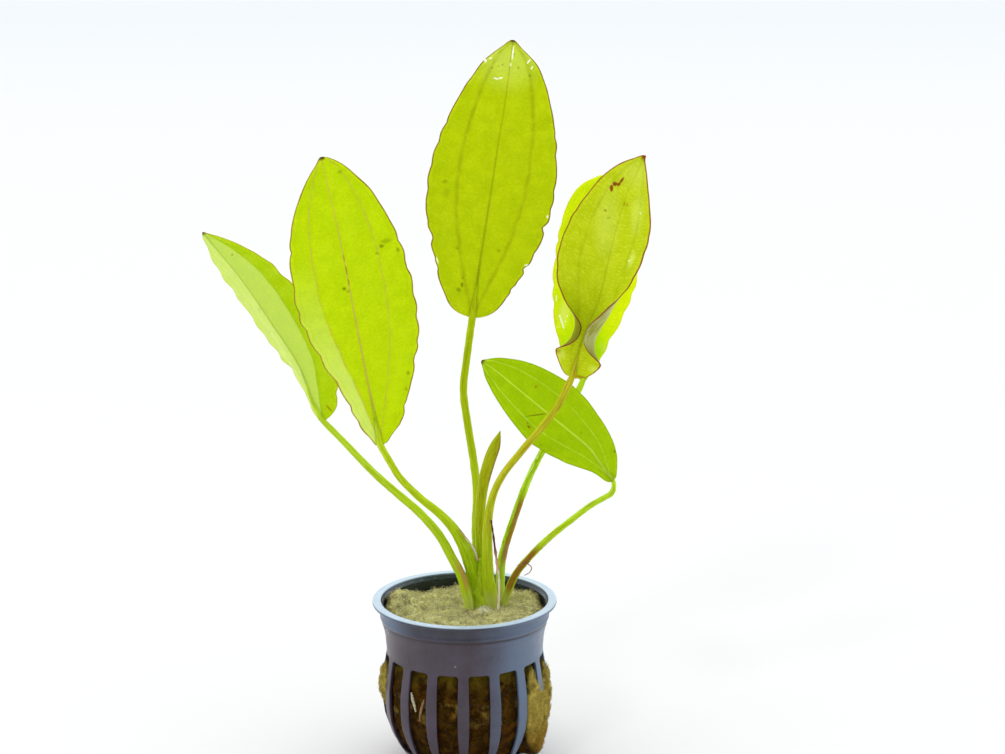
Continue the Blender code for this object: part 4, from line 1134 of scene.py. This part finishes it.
def add_fibres(name, roots, normals, count, seed, length, lift, material):
    """Short bent fibres that lie on the wool, each a closed three-sided thread."""
    rng = np.random.default_rng(seed)
    pick = rng.integers(0, len(roots), count)
    root, normal = roots[pick], normals[pick]
    tangent = unit(np.cross(normal, unit(rng.normal(size=(count, 3)))))
    beside = np.cross(normal, tangent)
    long = rng.uniform(0.4, 1.0, (count, 1, 1)) * length
    t = np.linspace(0.0, 1.0, FIBRE_STEPS + 1)[None, :, None]
    bend = rng.normal(0.0, 0.28, (count, 1, 1)) * long
    raised = rng.uniform(0.1, 1.0, (count, 1, 1)) ** 2 * lift
    tilt = rng.uniform(-1.0, 1.0, (count, 1, 1))
    centre = (
        root[:, None, :] + tangent[:, None, :] * long * (t - 0.5) + beside[:, None, :] * bend * (t - 0.5) ** 2 * 4.0
        + normal[:, None, :] * (raised * (1.0 - (2.0 * t - 1.0 - 0.5 * tilt) ** 2) + 0.25 * tilt * (t - 0.5) * lift)
    )
    corners = np.linspace(0.0, math.tau, 3, endpoint=False)
    thin = FIBRE_RADIUS * rng.uniform(0.6, 1.2, (count, 1, 1)) * (1.0 - 0.6 * np.abs(2.0 * t - 1.0) ** 3)
    rings = [
        centre + thin * (math.cos(c) * beside[:, None, :] + math.sin(c) * normal[:, None, :]) for c in corners
    ]
    points = np.stack(rings, axis=2).reshape(-1, 3)
    one = tube_faces(FIBRE_STEPS + 1, 3)
    size = (FIBRE_STEPS + 1) * 3
    faces = [[i + k * size for i in face] for k in range(count) for face in one]
    return add_piece(name, points, faces, material, ())


def make_wool_fibres(shaped, normals):
    material = wool_material("wool_fibre_skin", True)
    flat, up = shaped.reshape(-1, 3), normals.reshape(-1, 3)
    ring_size = np.hypot(flat[:, 0], flat[:, 1])
    rng = np.random.default_rng(3)
    fair = rng.uniform(0.0, 24.0, len(flat)) < ring_size
    top = fair & (flat[:, 2] > 44.0)
    radius, _ = wall_line(flat[:, 2])
    bulged = (ring_size > radius - 0.8) & (flat[:, 2] < 40.0)
    in_slot = (ring_size <= radius - 0.8) & (flat[:, 2] < 34.0) & (flat[:, 2] > 5.0)
    add_fibres("wool_fibres_top", flat[top], up[top], 6000, 11, 3.2, 1.1, material)
    add_fibres("wool_fibres_bulge", flat[bulged], up[bulged], 3000, 12, 3.2, 0.45, material)
    add_fibres("wool_fibres_slots", flat[in_slot], up[in_slot], 1600, 13, 3.6, 0.35, material)


# Pot

# Body tinted violet, a painted reflection of warm light from below; collar bluish
POT_BODY = (srgb(58, 45, 56), srgb(70, 58, 73))
POT_COLLAR = (srgb(48, 47, 58), srgb(64, 65, 82))
POT_PAINTED_REFLECTION = srgb(88, 104, 128)
POT_INSIDE_SHADE = srgb(22, 32, 36)
POT_SHADOW = srgb(34, 22, 28)
INNER_LINE = srgb(110, 128, 138)
RIM_TOP_REFLECTION = srgb(172, 186, 197)
# Places where the ledge in the pot catches the light
LEDGE_GLINTS = ((-10.2, 21.7, 45.1), (15.4, 18.6, 45.6))


def pot_material():
    """Grey-violet plastic with a painted bluish reflection on its right side, and a painted pale reflection on the
    rim's top.
    """
    s = Shades("pot_plastic")
    place = s.stretched(s.place(), (1000.0, 1000.0, 1000.0))
    x, y, height = s.parts(place)
    out = s.do("SQRT", s.do("ADD", s.do("MULTIPLY", x, x), s.do("MULTIPLY", y, y)))
    around = s.do("ARCTAN2", x, s.do("MULTIPLY", y, -1.0))
    cloudy = s.noise(place, 0.12, 4.0, 0.6)
    grain = s.noise(place, 6.0, 3.0, 0.6)
    colour = s.mix(s.ramp(cloudy, 0.35, 0.7), *POT_BODY)
    collar = s.mix(s.ramp(cloudy, 0.35, 0.7), *POT_COLLAR)
    # Painted reflection: the body below the collar keeps a violet tint
    colour = s.mix(s.ramp(height, 44.6, 45.6), colour, collar)
    # Painted reflection: bluish on the right side, and on the left of the collar
    patchy = s.do("ADD", around, s.do("MULTIPLY", cloudy, 0.3))
    right_painted_reflection = s.do("MULTIPLY", s.ramp(patchy, 0.22, 0.95), s.ramp(around, 1.5, 2.6, 1.0, 0.0))
    colour = s.mix(right_painted_reflection, colour, POT_PAINTED_REFLECTION)
    left_painted_reflection = s.do("MULTIPLY", s.ramp(patchy, -0.4, -0.9), s.ramp(height, 43.6, 45.0, 0.0, 0.9))
    colour = s.mix(left_painted_reflection, colour, POT_PAINTED_REFLECTION)
    under_step = s.do("MULTIPLY", s.ramp(height, 43.5, 44.2), s.ramp(height, 44.5, 44.9, 0.8, 0.0))
    colour = s.mix(under_step, colour, POT_SHADOW)
    scratch = s.noise(s.stretched(place, (0.5, 0.5, 6.0)), 0.6, 5.0, 0.75)
    colour = s.mix(s.ramp(scratch, 0.64, 0.78, 0.0, 0.3), colour, srgb(130, 138, 152))
    scuff = s.do("ADD", s.distance(place, (-2.4, -23.6, 36.9)), s.do("MULTIPLY", grain, 0.8))
    colour = s.mix(s.ramp(scuff, 0.5, 0.9, 0.6, 0.0), colour, srgb(150, 156, 166))
    nick = s.do("ADD", s.distance(place, (-22.6, -9.9, 42.9)), s.do("MULTIPLY", grain, 0.6))
    colour = s.mix(s.ramp(nick, 0.9, 1.6, 0.7, 0.0), colour, srgb(140, 150, 164))
    colour = s.mix(s.ramp(nick, 0.6, 0.9, 0.9, 0.0), colour, srgb(20, 22, 30))
    # Painted shade: the inner wall darker than the outside
    inner = s.do("SUBTRACT", out, s.ramp(height, 48.0, 49.0, 0.0, 0.45))
    inside = s.do("MULTIPLY", s.ramp(inner, 24.4, 24.5, 1.0, 0.0), s.ramp(height, 42.0, 42.6))
    colour = s.mix(inside, colour, POT_INSIDE_SHADE)
    # Thin broken highlights along the ridges of the inner wall
    ridges = s.ramp(s.do("SINE", s.do("MULTIPLY", height, math.tau / 0.8)), 0.7, 1.0)
    broken = s.ramp(s.noise(s.stretched(place, (0.5, 0.5, 1.6)), 1.0, 4.0, 0.7), 0.5, 0.64, 0.0, 0.8)
    colour = s.mix(s.do("MULTIPLY", s.do("MULTIPLY", ridges, broken), inside), colour, INNER_LINE)
    for spot in LEDGE_GLINTS:
        flat_spot = tuple(a * b for a, b in zip(spot, (0.4, 0.4, 2.0)))
        near = s.distance(s.stretched(place, (0.4, 0.4, 2.0)), flat_spot)
        colour = s.mix(s.ramp(near, 0.3, 0.9, 0.9, 0.0), colour, srgb(170, 190, 204))
    # Painted reflection: the flange's top pale blue-grey
    colour = s.mix(s.ramp(height, 49.72, 49.86), colour, RIM_TOP_REFLECTION)
    s.set(
        Base_Color=colour, Roughness=s.ramp(s.do("ADD", cloudy, s.do("MULTIPLY", scratch, 0.6)), 0.5, 1.1, 0.26, 0.42),
        Specular_IOR_Level=0.5, Normal=s.bump(s.do("ADD", grain, scratch), 0.12, 0.0002),
    )
    return s.material


def turned_rings(line, around):
    """Points of a profile turned about the vertical: one ring of these angles for each of its points."""
    radius, height = (np.array(row)[:, None] for row in zip(*line))
    return np.stack([radius * np.sin(around), -radius * np.cos(around), height + 0 * around], axis=-1)


def arc(centre, radius, start, end, steps):
    """Points of a round corner in a profile, with its angles in degrees from +r towards +z."""
    angles = np.radians(np.linspace(start, end, steps + 1))
    return [(centre[0] + radius * math.cos(a), centre[1] + radius * math.sin(a)) for a in angles]


def inner_radius(height):
    return wall_line(height)[0] - WALL


def rim_profile():
    """The turned part above the slots: up the outside, over the flange and down the inside."""
    low = RIM_HEIGHT - FLANGE
    line = [(wall_line(z)[0], z) for z in (CELL_TOP, 37.5, 39.0, 40.4, 41.8, 42.6)]
    line += [(24.7, 43.1), (24.78, 43.6), (24.84, 44.1), (24.94, 44.45), (25.12, 44.65), (25.26, 44.85)]
    line += [(25.32, 45.1), (25.3, 45.4), (25.22, 45.65), (25.12, 45.95), (25.1, 46.4), (25.12, 47.2), (25.16, low - 0.7)]
    line += [(25.24, low - 0.4), (25.36, low - 0.18), (25.6, low - 0.04), (25.9, low), (26.6, low)]
    line += arc((RIM_RADIUS - 0.3, low + 0.3), 0.3, -90, 0, 4)
    line += arc((RIM_RADIUS - 0.35, RIM_HEIGHT - 0.35), 0.35, 0, 90, 5)
    line += [(26.6, RIM_HEIGHT - 0.03), (25.9, RIM_HEIGHT - 0.05), (25.4, RIM_HEIGHT)]
    line += arc((25.3, RIM_HEIGHT - 0.3), 0.3, 90, 190, 5)
    line += [(24.8, 49.2), (24.5, 48.8)]
    for k in range(5):
        z = 48.6 - 0.8 * k
        line += [(24.32, z), (24.2, z - 0.2), (24.3, z - 0.5)]
    line += [(24.1, 44.5), (23.8, 44.1), (23.1, 43.9), (22.9, 43.6), (22.8, 42.8)]
    line += [(wall_line(z)[0] - WALL, z) for z in (41.0, 38.0, CELL_TOP)]
    return line


def base_profile():
    """The turned part below the slots: down the outside, across the base and up the inside."""
    outer = [(wall_line(z)[0], z) for z in (CELL_BOTTOM, 2.6, 1.6)]
    outer += [(16.9, 0.75), (16.6, 0.3), (16.1, 0.05), (15.4, 0.0), (9.0, 0.0), (0.3, 0.0)]
    inner = [(0.3, WALL), (9.0, WALL), (14.6, WALL), (15.6, 1.2), (16.4, 1.9)]
    inner += [(wall_line(z)[0] - WALL, z) for z in (2.6, CELL_BOTTOM)]
    return outer + inner


def slot_outline(grow):
    """Half a slot's outline grown by a distance, as (sideways, up) for a point of a unit square's border."""
    half_width = SLOT_WIDTH / 2.0 + grow
    half_height = (SLOT_TOP - SLOT_BOTTOM) / 2.0 + grow
    corner = SLOT_CORNER + grow

    def place(u, v):
        if abs(v) == 1.0:
            past = max(0.0, abs(u) * half_width - (half_width - corner)) / corner
            angle = math.radians(90.0 - 45.0 * past)
        else:
            past = max(0.0, abs(v) * half_height - (half_height - corner)) / corner
            angle = math.radians(45.0 * past)
        if past == 0.0:
            return u * half_width, v * half_height
        x = half_width - corner + corner * math.cos(angle)
        z = half_height - corner + corner * math.sin(angle)
        return math.copysign(x, u), math.copysign(z, v)

    return place


def square_border():
    """Points round a unit square, with more of them up its sides than across it."""
    across = np.linspace(-1.0, 1.0, CELL_ACROSS + 1)
    up = np.linspace(-1.0, 1.0, CELL_UP + 1)
    border = [(u, 1.0) for u in across[:-1]] + [(1.0, v) for v in up[:0:-1]]
    return border + [(u, -1.0) for u in across[:0:-1]] + [(-1.0, v) for v in up[:-1]]


def slot_cell():
    """One slot with half a rib at each side: rings of (angle, height, depth in the wall)."""
    border = square_border()
    pitch = math.tau / SLOT_COUNT
    middle = (SLOT_TOP + SLOT_BOTTOM) / 2.0
    edge = SLOT_EDGE
    rim = [(u * pitch / 2.0, between(CELL_BOTTOM, CELL_TOP, (v + 1.0) / 2.0)) for u, v in border]

    def outline(grow, depth):
        ring = []
        for u, v in border:
            sideways, up = slot_outline(grow)(u, v)
            height = middle + up
            radius = wall_line(height)[0] - depth
            ring.append((math.asin(sideways / radius), height, depth))
        return ring

    def spread(ring, depth, shares):
        return [
            [(between(a, c, t), between(b, d, t), depth) for (a, b), (c, d, _) in zip(rim, ring)] for t in shares
        ]

    outer, inner = outline(edge, 0.0), outline(edge, WALL)
    rings = spread(outer, 0.0, (0.0, 0.3, 0.6, 0.85)) + [outer]
    rings += [outline(edge * (1 - math.sin(a)), edge * (1 - math.cos(a))) for a in (0.5, 1.05, math.pi / 2)]
    rings += [outline(0.0, WALL / 2.0)]
    rings += [outline(edge * (1 - math.cos(a)), WALL - edge * (1 - math.sin(a))) for a in (0.0, 0.5, 1.05)]
    return rings + [inner] + spread(inner, WALL, (0.85, 0.6, 0.3, 0.0))


def make_pot():
    """The pot as one skin: sixteen slot cells between a turned rim and a turned base."""
    rings = np.array(slot_cell())
    count = rings.shape[1]
    grid = np.arange(rings.shape[0] * count).reshape(rings.shape[0], count)
    near, far = grid[:-1], grid[1:]
    quads = np.stack([near, np.roll(near, -1, axis=1), np.roll(far, -1, axis=1), far], axis=-1).reshape(-1, 4)
    points, faces = [], []
    for k in range(SLOT_COUNT):
        angle = rings[..., 0] + (k + 0.5) * math.tau / SLOT_COUNT
        radius = wall_line(rings[..., 1])[0] - rings[..., 2]
        cell = np.stack([radius * np.sin(angle), -radius * np.cos(angle), rings[..., 1]], axis=-1)
        faces += (quads + k * grid.size).tolist()
        points.append(cell.reshape(-1, 3))
    sides = SLOT_COUNT * CELL_ACROSS
    around = np.linspace(0.0, math.tau, sides, endpoint=False)[None, :]
    start = SLOT_COUNT * grid.size
    for line in (rim_profile(), base_profile()):
        turned = turned_rings(line, around)
        ring = start + np.arange(len(line) * sides).reshape(len(line), sides)
        near, far = ring[:-1], ring[1:]
        walls = np.stack([near, np.roll(near, -1, axis=1), np.roll(far, -1, axis=1), far], axis=-1).reshape(-1, 4)
        faces += walls.tolist()
        points.append(turned.reshape(-1, 3))
        start += ring.size
    points = np.concatenate(points)
    pot = add_piece("pot_moulding", points, faces, pot_material(), ("pot",))
    weld(pot, 0.02)
    return pot


def weld(piece, distance):
    """Joins points that lie within a distance of each other, in millimetres."""
    bm = bmesh.new()
    bm.from_mesh(piece.data)
    bmesh.ops.remove_doubles(bm, verts=bm.verts, dist=distance * MM)
    bmesh.ops.recalc_face_normals(bm, faces=bm.faces)
    bm.to_mesh(piece.data)
    bm.free()


# Stage, light and camera

def stage_material():
    s = Shades("stage_paper")
    place = s.place()
    away = s.distance(place, (0.0, 0.0, 0.0))
    near = s.mix(s.noise(place, 3.0, 2.0), FLOOR_NEAR, tuple(c * 0.99 for c in FLOOR_NEAR))
    s.set(Base_Color=s.mix(s.ramp(away, 0.8, 7.0), near, FLOOR_FAR), Roughness=0.9, Specular_IOR_Level=0.1)
    return s.material


def make_stage():
    mesh = bpy.data.meshes.new("floor")
    bm = bmesh.new()
    bmesh.ops.create_circle(bm, cap_ends=True, segments=96, radius=30.0)
    bm.to_mesh(mesh)
    bm.free()
    mesh.materials.append(stage_material())
    floor = bpy.data.objects.new("floor", mesh)
    bpy.context.scene.collection.objects.link(floor)


def add_area_light(name, place, target, size, energy, colour=(1.0, 1.0, 1.0)):
    data = bpy.data.lights.new(name, "AREA")
    data.shape = "RECTANGLE"
    data.size, data.size_y = size
    data.energy = energy
    data.color = colour
    lamp = bpy.data.objects.new(name, data)
    lamp.location = place
    lamp.rotation_euler = (Vector(target) - Vector(place)).to_track_quat("-Z", "Y").to_euler()
    lamp.visible_camera = False
    bpy.context.scene.collection.objects.link(lamp)


def make_world():
    """A white room that is darker behind the camera, so the light comes round and through the leaves."""
    world = bpy.data.worlds.new("studio")
    bpy.context.scene.world = world
    world.use_nodes = True
    tree = world.node_tree
    direction = tree.nodes.new("ShaderNodeTexCoord")
    parts = tree.nodes.new("ShaderNodeSeparateXYZ")
    level = tree.nodes.new("ShaderNodeMapRange")
    level.interpolation_type = "SMOOTHSTEP"
    for socket, value in zip(level.inputs[1:5], (WORLD_TURN[0], WORLD_TURN[1], WORLD_LEVEL[0], WORLD_LEVEL[1])):
        socket.default_value = value
    sky = tree.nodes["Background"]
    sky.inputs["Color"].default_value = (*SKY_COLOUR, 1.0)
    tree.links.new(direction.outputs["Generated"], parts.inputs[0])
    tree.links.new(parts.outputs["Y"], level.inputs["Value"])
    tree.links.new(level.outputs["Result"], sky.inputs["Strength"])


def make_light():
    make_world()
    add_area_light("glint_light", (-0.45, -0.75, 0.95), (0.0, 0.0, 0.12), (0.16, 0.16), 1.4)


def make_camera():
    data = bpy.data.cameras.new("camera")
    data.lens = CAMERA_LENS
    data.sensor_width = SENSOR_WIDTH
    data.sensor_fit = "HORIZONTAL"
    data.clip_start = 0.01
    data.clip_end = 100.0
    camera = bpy.data.objects.new("camera", data)
    camera.location = Vector(CAMERA_PLACE) * MM
    camera.rotation_euler = (math.radians(CAMERA_PITCH), 0.0, 0.0)
    bpy.context.scene.collection.objects.link(camera)
    bpy.context.scene.camera = camera
    bpy.context.scene.view_settings.view_transform = "Standard"


def make_plant():
    for number, leaf in LEAVES.items():
        make_blade(number, leaf)
        make_stalk(number, leaf)
    make_young_leaf()
    make_crown()
    cream, pink, brown = srgb(255, 248, 210), srgb(238, 186, 150), srgb(88, 44, 22)
    right = dried_material("sheath_right_skin", brown, pink, cream, 57.0, 66.5)
    left = dried_material("sheath_left_skin", srgb(206, 170, 104), srgb(250, 236, 206), srgb(214, 190, 140), 61.0, 72.0)
    make_strip("sheath_right_strip", SHEATH_RIGHT, SHEATH_HALF_WIDTHS[1], right, "dry_sheath_right", 5)
    make_strip("sheath_left_strip", SHEATH_LEFT, SHEATH_HALF_WIDTHS[0], left, "dry_sheath_left", 8)
    make_thread("root_pale", ROOT_WHITE, (0.2, 0.42, 0.4, 0.2), root_material("root_pale_skin", srgb(214, 206, 170)), "root_white")
    make_thread("root_dark", ROOT_BROWN, (0.2, 0.4, 0.4, 0.2), root_material("root_dark_skin", srgb(150, 112, 60)), "root_brown")
    make_thread("filament", FILAMENT, (0.1, 0.16, 0.14, 0.1), root_material("filament_skin", srgb(170, 96, 44)))


make_camera()
make_stage()
make_light()
make_pot()
plug, wool_points, wool_normals = make_wool()
make_wool_fibres(wool_points, wool_normals)
make_plant()
